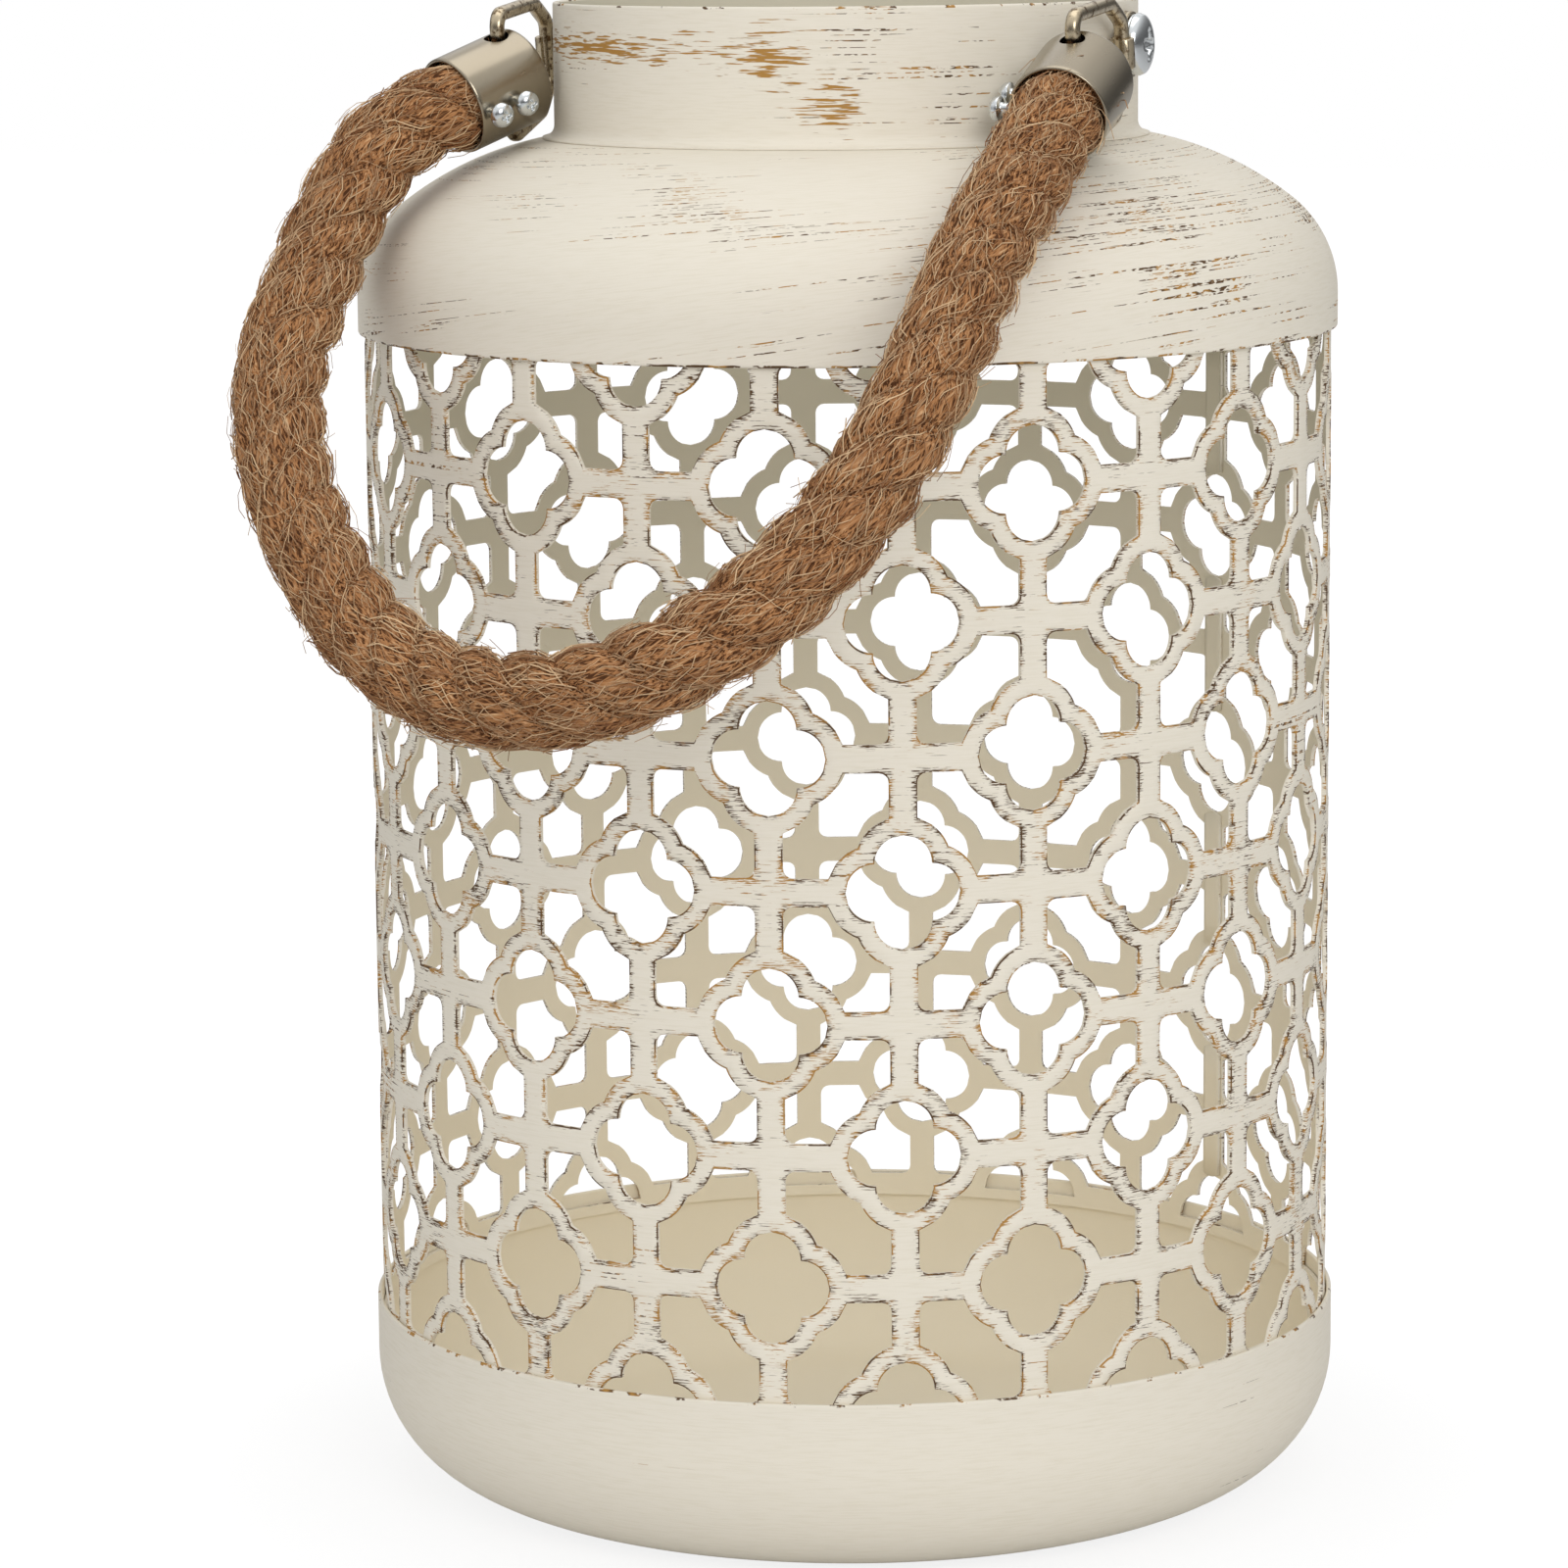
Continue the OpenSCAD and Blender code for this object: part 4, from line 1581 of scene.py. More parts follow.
@dataclass
class Hinges:
    """Pivot screws, washers, nuts and straps on both sides of the neck."""

    finishes: Finishes
    plan: HandlePlan
    shank_d: float = 4.0
    head_d: float = 10.3
    head_h: float = 2.4
    washer_t: float = 0.6
    nut_w: float = 7.0
    nut_t: float = 3.2
    nut_steps: int = 72
    strap_d: float = 11.0
    loop_w: float = 5.0
    outer_gap: float = 2.6
    leaf_soft: float = 0.16

    def along_x(self, side: Side, start: float) -> Move:
        """Turns a shape's +Z to point outwards on a side of the neck, from a distance."""
        def place(point: Vector) -> Vector:
            """Moves one point."""
            return Vector((side.value * (start + point.z), point.x, self.plan.pivot_z + point.y))

        return place

    def screw(self, side: Side) -> bpy.types.Object:
        """A pivot screw.

        Args:
            side: the side of the neck.

        Returns:
            The dressed piece.
        """
        seat = self.plan.screw_top - self.head_h
        shape = ScrewShape(self.shank_d, seat - self.plan.screw_end, self.head_d, self.head_h)
        draft = Draft()
        shape.draw(draft, self.along_x(side, seat))
        piece = draft.mesh(f"pivot_screw_{side.word}_head", merge=0.004)
        return dress(piece, self.finishes.zinc, Body.SHELL, [f"pivot_screw_{side.word}"])

    def washer(self, side: Side) -> bpy.types.Object:
        """A washer with rounded edges.

        Args:
            side: the side of the neck.

        Returns:
            The dressed piece.
        """
        low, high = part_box(f"pivot_washer_{side.word}")
        start = min(abs(low.x), abs(high.x)) / MM
        outer = (high.z - low.z) / 2 / MM
        inner = self.shank_d / 2 + 0.1
        t = self.washer_t
        r = 0.15
        profile = [
            (inner, 0.1, 0.0), (inner + 0.1, 0.0, 0.0), (outer - r, 0.0, 0.0), (outer, r, 0.0),
            (outer, t - r, 0.0), (outer - r, t, 0.0), (inner + 0.1, t, 0.0), (inner, t - 0.1, 0.0),
        ]
        node = f"pivot_washer_{side.word}"
        piece = lathe(f"{node}_disc", profile, 64, True, self.along_x(side, start))
        return dress(piece, self.finishes.zinc, Body.SHELL, [node])

    def nut(self, side: Side) -> bpy.types.Object:
        """A hexagon nut with chamfered corners.

        Args:
            side: the side of the neck.

        Returns:
            The dressed piece.
        """
        low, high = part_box(f"pivot_nut_{side.word}")
        place = self.along_x(side, min(abs(low.x), abs(high.x)) / MM)
        flat = self.nut_w / 2
        draft = Draft()

        def row(level: float, radius: Callable[[float], float]) -> list[int]:
            """Adds a row of points whose radius depends on their angle."""
            made = []
            for a in turns(self.nut_steps):
                made.append(draft.add(place(
                    Vector((radius(a) * math.sin(a), radius(a) * math.cos(a), level))
                )))
            return made

        def hexed(a: float) -> float:
            """The hexagon's radius at an angle."""
            return flat / math.cos((a + math.pi / 6) % (math.pi / 3) - math.pi / 6)

        def chamfered(a: float) -> float:
            """The hexagon's radius at its chamfered ends."""
            return min(hexed(a), flat * 1.03)

        bore = self.shank_d / 2 + 0.03
        end = self.nut_t
        levels = ((0.0, chamfered), (0.5, hexed), (end - 0.5, hexed), (end, chamfered))
        rows = [row(level, radius) for level, radius in levels]
        ends = [row(level, lambda _a: bore) for level in (0.0, end)]
        draft.loft([ends[0]] + rows + [ends[1], ends[0]], True)
        piece = draft.mesh(f"pivot_nut_{side.word}_hex", merge=0.0004)
        sharpen(piece, 25)
        return dress(piece, self.finishes.zinc, Body.SHELL, [f"pivot_nut_{side.word}"])

    @property
    def leaf(self) -> float:
        """Thickness of one of the strap's leaves."""
        return self.plan.strap_t / 2 - 0.03

    def fold_line(self) -> list[Place]:
        """The strap's middle line: distance from the lantern's axis, and from the pivot.

        Returns:
            Points down the inner leaf, round the ring's bar and back along the outer leaf.
        """
        plan = self.plan
        start, reach = -self.strap_d / 2, plan.strap_l
        inner_x = plan.strap_x + self.leaf / 2
        outer_x = plan.strap_x + plan.strap_t - self.leaf / 2
        line = [(inner_x, start + (reach - start) * i / 16 * 0.995) for i in range(17)]
        loop = arc((plan.bar_x, reach), plan.loop_r - self.leaf / 2, 180, -62, 20)
        line += [(x, 2 * reach - y) for x, y in loop][1:]
        last = line[-1]
        top = reach - self.outer_gap
        tail = [(outer_x, top - (top - start) * i / 12) for i in range(13)]
        return line + [((last[0] + tail[0][0]) / 2, (last[1] + tail[0][1]) / 2)] + tail

    def leaf_rim(self, along: float) -> list[Place]:
        """The strap's section at a distance from the pivot, with soft corners.

        Args:
            along: the distance from the pivot towards the ring.

        Returns:
            Points, each with its place across the strap and through its thickness.
        """
        end = self.strap_d / 2
        disc = math.sqrt(max(0.0, end**2 - along * along)) if along < end else 0.0
        half = max(disc, self.loop_w / 2 if along > 0 else 0.35)
        face = self.leaf / 2
        soft = self.leaf_soft
        side = [(half, -face + soft), (half, face - soft), (half - soft, face)]
        side.append((-half + soft, face))
        return side + [(-across, -through) for across, through in side]

    def strap(self, side: Side) -> bpy.types.Object:
        """A strap folded round the ring's bar, its two leaves meeting at the pivot.

        Args:
            side: the side of the neck.

        Returns:
            The dressed piece.
        """
        line = self.fold_line()
        draft = Draft()
        rows = []
        for i, (x, y) in enumerate(line):
            before, after = line[max(i - 1, 0)], line[min(i + 1, len(line) - 1)]
            along = Vector((after[0] - before[0], after[1] - before[1])).normalized()
            rows.append([
                draft.add(self.plan.on_strap(side, x - along.y * t, y + along.x * t, up))
                for up, t in self.leaf_rim(y)
            ])
        draft.loft(rows, True)
        draft.cap(rows)
        node = f"hinge_strap_{side.word}"
        piece = draft.mesh(f"{node}_leaf")
        sharpen(piece, 40)
        return dress(piece, self.finishes.ring, Body.STRAPS, [node])


@dataclass
class Rings:
    """The bent wire rings between straps and ferrules."""

    finishes: Finishes
    plan: HandlePlan
    ring_w: float = 21.4
    waist: float = 18.6
    bar_half: float = 5.2
    slant_l: float = 6.0
    bend_r: float = 2.4
    pin_end: float = 5.3
    bulge: float = 2.6

    def corners(self, up: int) -> list[Vector]:
        """Corners of a ring's upper or lower half, from its bar to its pin's end.

        Args:
            up: 1 for the upper half, and -1 for the lower.

        Returns:
            The corners, with y along the ring and z up.
        """
        half = self.ring_w / 2
        shift = up * math.tan(math.radians(self.plan.pin_slope - self.plan.ring_slope))
        places = [(0.0, self.bar_half), (self.slant_l, self.waist / 2)]
        places += [(self.plan.ring_l + reach * shift, reach) for reach in (half, self.pin_end)]
        return [Vector((0.0, along, up * height)) for along, height in places]

    def ring(self, side: Side) -> bpy.types.Object:
        """A ring, its wire pressed a little flat.

        Args:
            side: the handle's side.

        Returns:
            The dressed piece.
        """
        plan = self.plan
        corners = list(reversed(self.corners(-1))) + self.corners(1)
        path = [plan.on_ring(side, v.y, v.z) for v in rounded_path(corners, self.bend_r, 8)]
        out = (plan.on_ring(side, 0, 0, 1.0) - plan.on_ring(side, 0, 0, 0.0)).normalized()
        half_w = plan.wire_d / 2
        bulge = self.bulge

        def section(_travelled: float) -> list[Place]:
            """The wire's outline, between round and square."""
            made = []
            for a in turns(20):
                grow = (abs(math.cos(a)) ** bulge + abs(math.sin(a)) ** bulge) ** (-1 / bulge)
                made.append((half_w * grow * math.cos(a), half_w * grow * math.sin(a)))
            return made

        piece = sweep(path, section, out).mesh(f"handle_ring_{side.word}_wire")
        body = Body.RING_LEFT if side is Side.LEFT else Body.RING_RIGHT
        return dress(piece, self.finishes.ring, body, [f"handle_ring_{side.word}"])


@dataclass
class Ferrules:
    """The metal caps on the rope's ends, with their small screws."""

    finishes: Finishes
    plan: HandlePlan
    outer_d: float = 16.6
    length: float = 15.0
    wall: float = 0.6
    hole_d: float = 4.2
    tack_d: float = 2.2
    tack_head_d: float = 4.2
    tack_head_h: float = 1.9
    tack_stand: float = 2.0
    rope_d: float = 15.0
    tack_at: tuple[float, float] = (7.4, 12.8)

    def cap(self, side: Side) -> bpy.types.Object:
        """A ferrule: a cup with a soft closed end, a bright lip and two holes for the ring's pins.

        Args:
            side: the handle's side.

        Returns:
            The dressed piece.
        """
        r, w = self.outer_d / 2, self.wall
        soft = 0.9
        outline = [(0.0, 0.0), (r * 0.35, 0.0), (r * 0.7, 0.0)]
        outline += arc((r - soft, soft), soft, -90, 0, 6)
        outline += [(r, soft + (self.length - 0.5 - soft) * i / 24) for i in range(1, 25)]
        end = self.length
        outline += [(r - 0.05, end - 0.22), (r - 0.16, end - 0.05), (r - w / 2, end)]
        outline += [(r - w + 0.1, end - 0.06), (r - w, end - 0.25)]
        outline += [(r - w, end - 0.5 - (end - 1.6) * i / 24) for i in range(25)]
        outline += [(r - w - 0.4, w + 0.1), (r * 0.5, w), (0.0, w)]

        def place(point: Vector) -> Vector:
            """Moves one point of the turned cup."""
            return self.plan.on_ferrule(side, point.x, point.z, point.y)

        profile = [(a, b, 0.0) for a, b in outline]
        node = f"ferrule_{side.word}"
        piece = lathe(f"{node}_cap", profile, 128, False, place)
        self.drill(piece, side)
        sharpen(piece, 38)
        return dress(piece, self.finishes.nickel, Body.HANDLE, [node])

    def drill(self, piece: bpy.types.Object, side: Side) -> None:
        """Cuts the holes for the ring's pins through a ferrule.

        Args:
            piece: the ferrule.
            side: the handle's side.
        """
        plan = self.plan
        draft = Draft()
        rows = []
        for up in (-self.outer_d, self.outer_d):
            circle = round_section(self.hole_d / 2, 64)
            rows.append([
                draft.add(plan.on_ferrule(side, x, plan.pin_inset + y, up)) for x, y in circle
            ])
        draft.loft(rows, True)
        draft.cap(rows)
        cutter = draft.mesh("pin_drill")
        cut = piece.modifiers.new("pin_holes", "BOOLEAN")
        cut.operation = "DIFFERENCE"
        cut.solver = "EXACT"
        cut.object = cutter
        graph = bpy.context.evaluated_depsgraph_get()
        data = bpy.data.meshes.new_from_object(piece.evaluated_get(graph), depsgraph=graph)
        piece.modifiers.clear()
        piece.data = data
        bpy.data.objects.remove(cutter)

    def tack(self, side: Side, word: str, along: float) -> bpy.types.Object:
        """A small screw that holds the rope, standing a little proud.

        Args:
            side: the handle's side.
            word: which of the two it is.
            along: its distance from the ferrule's closed end.

        Returns:
            The dressed piece.
        """
        shape = ScrewShape(
            self.tack_d, self.tack_stand + self.rope_d / 3, self.tack_head_d, self.tack_head_h, 0.55
        )
        reach = self.outer_d / 2 + self.tack_stand

        def place(point: Vector) -> Vector:
            """Moves one point of the screw."""
            return self.plan.on_ferrule(
                side, -side.value * (reach + point.z), along + point.x, point.y * side.value
            )

        draft = Draft()
        shape.draw(draft, place)
        piece = draft.mesh(f"tack_{side.word}_{word}", merge=0.003)
        node = f"ferrule_screw_{side.word}_{word}"
        return dress(piece, self.finishes.zinc, Body.HANDLE, [node])


# The rope


@dataclass(frozen=True)
class Thatch:
    """One kind of loose fibre: its own size, and how it lies on the strands."""

    name: str
    length: float
    radius: float
    bow: float
    density: float
    spread: float
    lift: float
    seed: int


@dataclass
class Rope:
    """Three jute strands laid round one another, under a thatch of loose fibres."""

    finishes: Finishes
    plan: HandlePlan
    diameter: float = 15.0
    inset: float = 6.2
    ferrule_l: float = 15.0
    lay: float = 30.0
    strand_r: float = 4.5
    strand_off: float = 2.8
    step: float = 1.1
    sides: int = 22
    core_r: float = 5.0
    skin: float = 1.3
    up: Point = (0, -0.66, 0.75)
    smoothings: int = 60
    thatches: tuple[Thatch, ...] = (
        Thatch("rope_fibres", 6.5, 0.085, 0.75, 380000.0, 0.6, 0.08, 4),
        Thatch("rope_fuzz", 8.0, 0.05, 1.5, 60000.0, 1.3, 0.45, 9),
    )
    route: tuple[Point, ...] = (
        (-60.7, -47, -20), (-64.5, -53.5, -26.2), (-66.5, -61, -35.4), (-67, -68.5, -43.5),
        (-67.5, -76.5, -51.5), (-66, -83.5, -59.5), (-63, -90, -67.5), (-58, -96.5, -75),
        (-52, -102, -82), (-45, -107.5, -88.5), (-37.5, -113, -94.5), (-28.5, -117.5, -99),
        (-19, -121.5, -102), (-8.5, -125, -102.5), (2, -127, -101.5), (12.5, -127.5, -98.5),
        (22, -127, -94), (31, -124.5, -88), (38.5, -120.5, -81), (44.5, -115.5, -73),
        (48.5, -109.5, -65), (50.5, -102.5, -57), (52, -95, -49), (52.5, -87, -42),
        (52.5, -78, -35.5), (53, -69, -30), (52.8, -59.5, -25.6), (52.3, -50, -21.2),
    )

    def centreline(self) -> list[Vector]:
        """The rope's smooth line from inside one ferrule to inside the other.

        Returns:
            Points about one step apart.
        """
        plan = self.plan
        ends = [
            [plan.on_ferrule(side, 0, s, 0) for s in (self.inset, self.ferrule_l)]
            for side in (Side.LEFT, Side.RIGHT)
        ]
        neck_top = Vector((0, 0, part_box("neck_collar")[1].z / MM))
        knots = ends[0] + [neck_top + Vector(p) for p in self.route] + list(reversed(ends[1]))
        fine: list[Vector] = []
        for i in range(len(knots) - 1):
            a, b = knots[max(i - 1, 0)], knots[i]
            c, d = knots[i + 1], knots[min(i + 2, len(knots) - 1)]
            for k in range(12):
                t = k / 12
                square = (2 * a - 5 * b + 4 * c - d) * t * t
                fine.append(0.5 * (2 * b + (c - a) * t + square + (3 * b - a - 3 * c + d) * t**3))
        fine.append(knots[-1])
        for _ in range(self.smoothings):
            middle = [(a + 2 * b + c) / 4 for a, b, c in zip(fine, fine[1:], fine[2:])]
            fine = [fine[0], *middle, fine[-1]]
        return resample(fine, self.step)

    def frames(self, line: Sequence[Vector]) -> list[tuple[Vector, Vector, Vector]]:
        """Tangent and two cross directions at each point, without twist."""
        normal = Vector(self.up)
        made = []
        for i in range(len(line)):
            tangent = (line[min(i + 1, len(line) - 1)] - line[max(i - 1, 0)]).normalized()
            normal = (normal - tangent * normal.dot(tangent)).normalized()
            made.append((tangent, normal, tangent.cross(normal)))
        return made

    def strands(self, line: list[Vector]) -> bpy.types.Object:
        """The three strands, pressed against one another.

        Args:
            line: the rope's centreline.

        Returns:
            The mesh, with the rope's direction and the place round its line stored on it.
        """
        frames = self.frames(line)
        draft = Draft()
        for k in range(3):
            path = []
            for i, (_, normal, across) in enumerate(frames):
                turn = math.tau * (i * self.step / self.lay + k / 3)
                way = normal * math.cos(turn) + across * math.sin(turn)
                path.append(line[i] + way * self.strand_off)

            def section(travelled: float) -> list[Place]:
                """The strand's lumpy outline."""
                made = []
                for a in turns(self.sides):
                    yarn = math.cos(6 * a + travelled * 0.5)
                    lump = math.sin(travelled * 0.9 + 3 * a) * math.sin(travelled * 0.37 + k)
                    radius = self.strand_r * (1 + 0.02 * yarn + 0.03 * lump)
                    made.append((radius * math.cos(a), radius * math.sin(a)))
                return made

            sweep(path, section, Vector(self.up), draft)
        ways: list[float] = []
        places: list[float] = []
        for number, point in enumerate(draft.points):
            i = number // self.sides % len(line)
            tangent, normal, across = frames[i]
            off = Vector(point) - line[i]
            ways.extend(tangent)
            places += [c * MM for c in (i * self.step, off.dot(normal), off.dot(across))]
            # The weight is 0 in the grooves near the core and 1 outermost; the strand finish paints
            # shade where it is low.
            draft.wear[number] = min(1.0, max(0.0, (off.length - self.core_r) / self.skin))
        piece = draft.mesh("rope_strands")
        for name, values in ((ALONG, ways), (ROUND, places)):
            stored = piece.data.attributes.new(name, "FLOAT_VECTOR", "POINT")
            stored.data.foreach_set("vector", values)
        return piece

    @staticmethod
    def fibre(kind: Thatch) -> bpy.types.Object:
        """One fibre that lies along X, bowed up in its middle.

        Args:
            kind: the fibre's size.

        Returns:
            The fibre's object.
        """
        parts = 4
        path = []
        for i in range(parts + 1):
            share = i / parts
            wave = 0.06 * kind.length * math.sin(share * math.tau)
            rise = kind.bow * (1 - (2 * share - 1) ** 2) - kind.bow * 0.45
            path.append(Vector(((share - 0.5) * kind.length, wave, rise)))
        outline = round_section(kind.radius, 3)
        return sweep(path, lambda _s: outline, Vector((0, 0, 1))).mesh(f"{kind.name}_one")

    @staticmethod
    def thatch_group(fibre: bpy.types.Object) -> bpy.types.NodeTree:
        """The tree that lays fibres on the strands.

        Args:
            fibre: the fibre that it repeats.

        Returns:
            The geometry node group.
        """
        inputs = [
            Socket("Rope", Value.GEOMETRY),
            Socket("Density", default=1000.0),
            Socket("Spread", default=0.6),
            Socket("Lift", default=0.1),
            Socket("Seed", Value.COUNT, 1),
            Socket("Finish", Value.MATERIAL),
        ]
        hand, given, result = new_group(
            "fibre_thatch", "GeometryNodeTree", inputs, [Socket("Geometry", Value.GEOMETRY)]
        )
        take = given.outputs
        named = "GeometryNodeInputNamedAttribute"
        outer = hand.add(named, {"Name": WEAR_AND_GROOVE_SHADE}, "Attribute", data_type="FLOAT")
        along = hand.add(named, {"Name": ALONG}, "Attribute", data_type="FLOAT_VECTOR")
        scatter = hand.add("GeometryNodeDistributePointsOnFaces", {
            "Mesh": take["Rope"], "Density": hand.math("MULTIPLY", take["Density"], outer),
            "Seed": take["Seed"],
        }, "Points")

        def random_number(low: object, high: object, seed: int) -> bpy.types.NodeSocket:
            """A number for each fibre, between two others."""
            values = {2: low, 3: high, 8: hand.math("ADD", take["Seed"], float(seed))}
            return hand.add("FunctionNodeRandomValue", values, 1, data_type="FLOAT")

        def either_way(name: str, seed: int) -> bpy.types.NodeSocket:
            """A number for each fibre, between an input and its opposite."""
            return random_number(hand.math("MULTIPLY", take[name], -1.0), take[name], seed)

        spread, lift = either_way("Spread", 1), either_way("Lift", 2)
        align = "FunctionNodeAlignRotationToVector"
        facing = scatter.node.outputs["Normal"]
        stand = hand.add(align, {"Vector": facing}, "Rotation", axis="Z")
        laid = {"Rotation": stand, "Vector": along}
        lie = hand.add(align, laid, "Rotation", axis="X", pivot_axis="Z")
        angles = hand.add("ShaderNodeCombineXYZ", {1: lift, 2: spread})
        turn = hand.add("FunctionNodeEulerToRotation", {0: angles}, 0)
        both = {"Rotation": lie, "Rotate By": turn}
        turned = hand.add("FunctionNodeRotateRotation", both, 0, rotation_space="LOCAL")
        copies = hand.add("GeometryNodeInstanceOnPoints", {
            "Points": scatter,
            "Instance": hand.add("GeometryNodeObjectInfo", {"Object": fibre}, "Geometry"),
            "Rotation": turned,
            "Scale": random_number(0.5, 1.4, 3),
        }, "Instances")
        tinted = hand.add("GeometryNodeStoreNamedAttribute", {
            "Geometry": copies, "Name": TINT, "Value": random_number(0.0, 1.0, 5),
        }, "Geometry", data_type="FLOAT", domain="INSTANCE")
        real = hand.add("GeometryNodeRealizeInstances", {"Geometry": tinted}, "Geometry")
        hand.feed(result.inputs["Geometry"], set_material(hand, real, take["Finish"]))
        return hand.tree

    def thatch(self, kind: Thatch, strands: bpy.types.Object) -> bpy.types.Object:
        """Lays one kind of fibre over the strands.

        Args:
            kind: the fibre's size and how it lies.
            strands: the strands that carry it.

        Returns:
            The dressed piece.
        """
        fibre = self.fibre(kind)
        ground = new_object(f"{kind.name}_ground", strands.data.copy())
        values = {
            "Density": kind.density, "Spread": kind.spread, "Lift": kind.lift, "Seed": kind.seed,
            "Finish": self.finishes.fibre,
        }
        piece = run_geometry(ground, self.thatch_group(fibre), values, kind.name)
        bpy.data.objects.remove(fibre)
        return dress(piece, self.finishes.fibre, Body.HANDLE)

    def build(self) -> list[bpy.types.Object]:
        """Returns:
            The rope's pieces.
        """
        line = self.centreline()
        strands = self.strands(line)
        loose = [self.thatch(kind, strands) for kind in self.thatches]
        dress(strands, self.finishes.strand, Body.HANDLE, ["rope"])
        return [strands, *loose]


def resample(line: Sequence[Vector], step: float) -> list[Vector]:
    """Points along a line at even distances.

    Args:
        line: the line's points.
        step: the wanted distance, which is kept to within a share of one step.

    Returns:
        The new points, with both ends kept.
    """
    lengths = [0.0]
    for a, b in zip(line, line[1:]):
        lengths.append(lengths[-1] + (b - a).length)
    count = max(2, round(lengths[-1] / step))
    made = []
    at = 0
    for i in range(count + 1):
        want = lengths[-1] * i / count
        while at < len(line) - 2 and lengths[at + 1] < want:
            at += 1
        share = (want - lengths[at]) / (lengths[at + 1] - lengths[at])
        made.append(line[at].lerp(line[at + 1], min(1.0, max(0.0, share))))
    return made


# The studio


@dataclass(frozen=True)
class Lamp:
    """A soft square lamp: where it stands, its side in metres and its watts."""

    name: str
    place: Point
    size: float
    power: float

    def build(self, target: Point) -> None:
        """Adds the lamp, pointed at a place."""
        data = bpy.data.lights.new(self.name, "AREA")
        data.size = self.size
        data.energy = self.power
        made = new_object(self.name, data)
        way = Vector(target) - Vector(self.place)
        made.location = self.place
        made.rotation_euler = way.to_track_quat("-Z", "Y").to_euler()


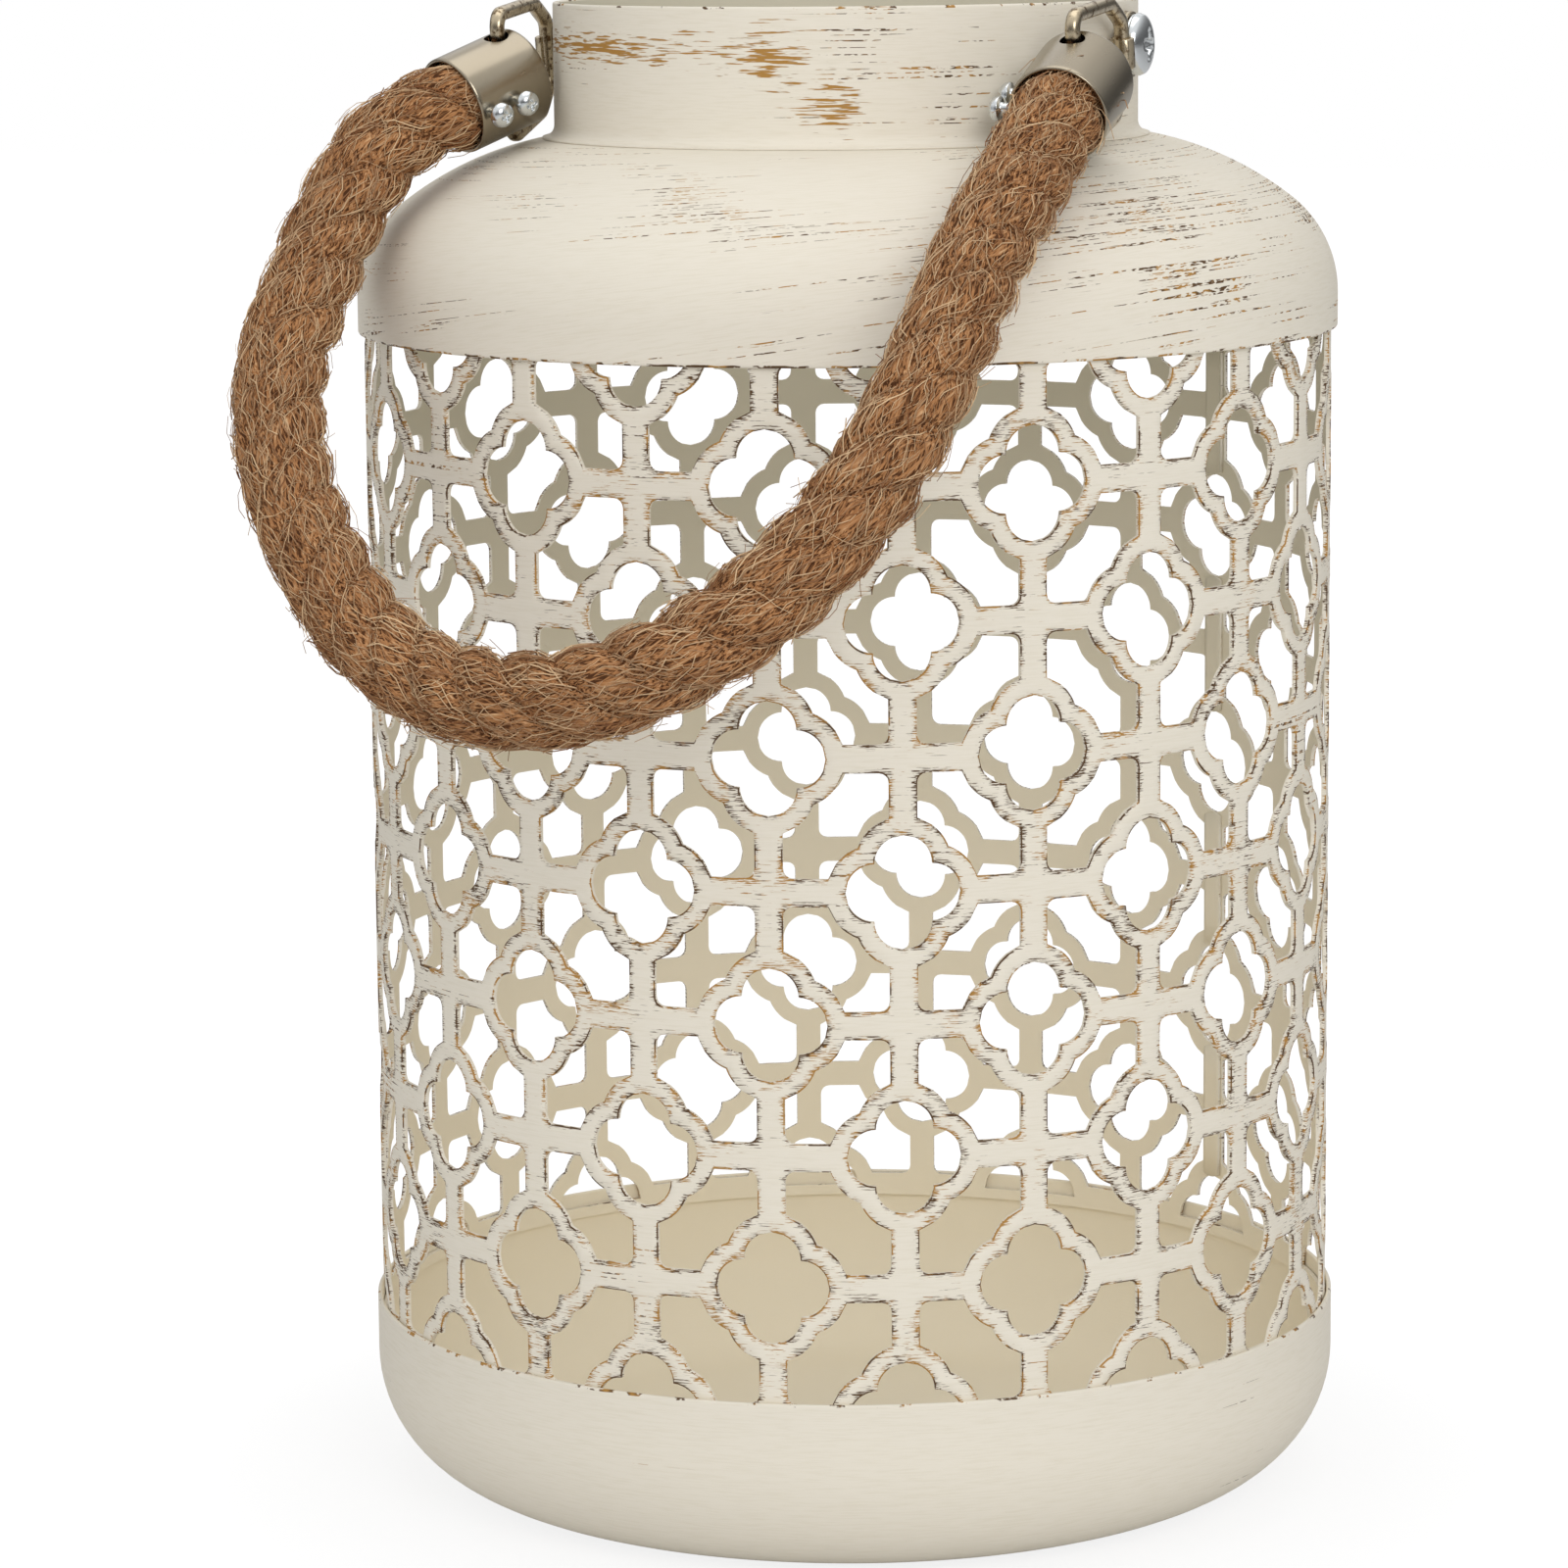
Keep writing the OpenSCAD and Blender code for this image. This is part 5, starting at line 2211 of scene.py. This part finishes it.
@dataclass(frozen=True)
class Studio:
    """Camera, lamps, floor and background."""

    azimuth: float = 21.0
    distance: float = 0.9594
    height: float = 0.2766
    pitch: float = 9.3
    yaw: float = 0.685
    roll: float = 0.51
    lens: float = 129.5
    middle: Point = (0.0, 0.0, 0.14)
    lamps: tuple[Lamp, ...] = (
        Lamp("key", (0.75, -0.95, 0.75), 0.6, 4.6),
        Lamp("fill", (-0.9, -0.6, 0.45), 0.9, 0.8),
        Lamp("top", (0.0, 0.1, 1.2), 0.9, 2.6),
        Lamp("back", (-0.3, 1.0, 0.6), 0.9, 1.0),
    )
    bright_way: Point = (0.35, -0.91, 0.22)
    ambient: tuple[float, float] = (0.28, 0.5)
    mirrored: tuple[float, float] = (0.12, 0.85)
    floor_half: float = 4000.0
    floor_share: tuple[float, float] = (0.8, 0.2)
    shadow_span: tuple[float, float] = (70.0, 160.0)

    def camera(self) -> None:
        """Sets the camera where the photograph was taken from."""
        a = math.radians(self.azimuth)
        data = bpy.data.cameras.new("camera")
        data.sensor_width = 36.0
        data.lens = self.lens
        data.clip_start = 0.01
        camera = new_object("camera", data)
        turn = Matrix.Rotation(math.radians(self.yaw), 3, "Z")
        forward_h = turn @ Vector((-math.sin(a), math.cos(a), 0))
        right = Vector((forward_h.y, -forward_h.x, 0))
        p = math.radians(self.pitch)
        forward = forward_h * math.cos(p) - Vector((0, 0, math.sin(p)))
        up = forward_h * math.sin(p) + Vector((0, 0, math.cos(p)))
        r = math.radians(self.roll)
        tilted_right = right * math.cos(r) - up * math.sin(r)
        tilted_up = right * math.sin(r) + up * math.cos(r)
        turned = Matrix((tilted_right, tilted_up, -forward)).transposed().to_4x4()
        camera.matrix_world = Matrix.Translation(
            (math.sin(a) * self.distance, -math.cos(a) * self.distance, self.height)
        ) @ turned
        bpy.context.scene.camera = camera

    def world(self) -> None:
        """White for the camera, brightest from the front, and dark low down in mirrors."""
        world = bpy.data.worlds.new("studio")
        bpy.context.scene.world = world
        world.use_nodes = True
        hand = Tree(world.node_tree)
        light = hand.add("ShaderNodeLightPath").node.outputs
        way = hand.add("ShaderNodeTexCoord", out="Generated")
        up = hand.add("ShaderNodeSeparateXYZ", {0: way}, 2)
        least, more = self.mirrored
        mirrored = hand.math("ADD", least, hand.math("MULTIPLY", hand.ramp(up, 0.05, 0.8), more))
        front = hand.vector("DOT_PRODUCT", way, self.bright_way, out="Value")
        least, more = self.ambient
        ambient = hand.math("ADD", least, hand.math("MULTIPLY", hand.ramp(front, -0.4, 0.9), more))
        extra = hand.math("SUBTRACT", mirrored, ambient)
        soft = hand.math("ADD", hand.math("MULTIPLY", light["Is Glossy Ray"], extra), ambient)
        seen = hand.math("MAXIMUM", soft, light["Is Camera Ray"])
        ground = world.node_tree.nodes["Background"]
        hand.feed(ground.inputs["Color"], (1.0, 1.0, 1.0, 1.0))
        hand.feed(ground.inputs["Strength"], seen)

    def floor(self) -> None:
        """A pale floor that the camera sees as white, with a faint shadow near the lantern."""
        draft = Draft()
        half = self.floor_half
        corners = ((-half, -half), (half, -half), (half, half), (-half, half))
        draft.faces.append(tuple(draft.add((x, y, 0.0)) for x, y in corners))
        floor = draft.mesh("floor")
        if floor.data.polygons[0].normal.z < 0:
            floor.data.flip_normals()
        made, hand, shader = new_material("studio_floor")
        shader.inputs["Base Color"].default_value = (0.85, 0.85, 0.85, 1.0)
        shader.inputs["Roughness"].default_value = 0.9
        camera = hand.add("ShaderNodeLightPath", out="Is Camera Ray")
        away = hand.vector("LENGTH", object_place(hand), out="Value")
        least, more = self.floor_share
        near, far = (distance * MM for distance in self.shadow_span)
        share = hand.math("ADD", least, hand.math("MULTIPLY", hand.ramp(away, near, far), more))
        white = hand.add("ShaderNodeEmission", {"Strength": 1.05})
        seen = hand.math("MULTIPLY", camera, share)
        mixed = hand.add("ShaderNodeMixShader", {0: seen, 1: shader.outputs[0], 2: white})
        hand.feed(made.node_tree.nodes["Material Output"].inputs["Surface"], mixed)
        floor.data.materials.append(made)
        floor.location.z = -0.2 * MM

    def build(self) -> None:
        """Makes the whole studio and sets how colours are shown."""
        for lamp in self.lamps:
            lamp.build(self.middle)
        self.world()
        self.floor()
        bpy.context.scene.view_settings.view_transform = "Standard"


def main() -> None:
    """Builds the lantern's looks in order."""
    logging.basicConfig(level=logging.INFO, format="%(name)s: %(message)s")
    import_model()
    studio = Studio()
    studio.camera()
    finishes = Finishes(Effects())
    plan = HandlePlan()
    Rope(finishes, plan).build()
    shell = Shell(finishes)
    shell.base()
    shell.shoulder()
    shell.neck()
    wall = PiercedWall(finishes)
    wall.sheet_piece()
    wall.seam_piece()
    hinges = Hinges(finishes, plan)
    rings = Rings(finishes, plan)
    ferrules = Ferrules(finishes, plan)
    for side in Side:
        hinges.screw(side)
        hinges.washer(side)
        hinges.nut(side)
        hinges.strap(side)
        rings.ring(side)
        ferrules.cap(side)
        for word, along in zip(("back", "front"), ferrules.tack_at):
            ferrules.tack(side, word, along)
    studio.build()


if __name__ == "__main__":
    main()
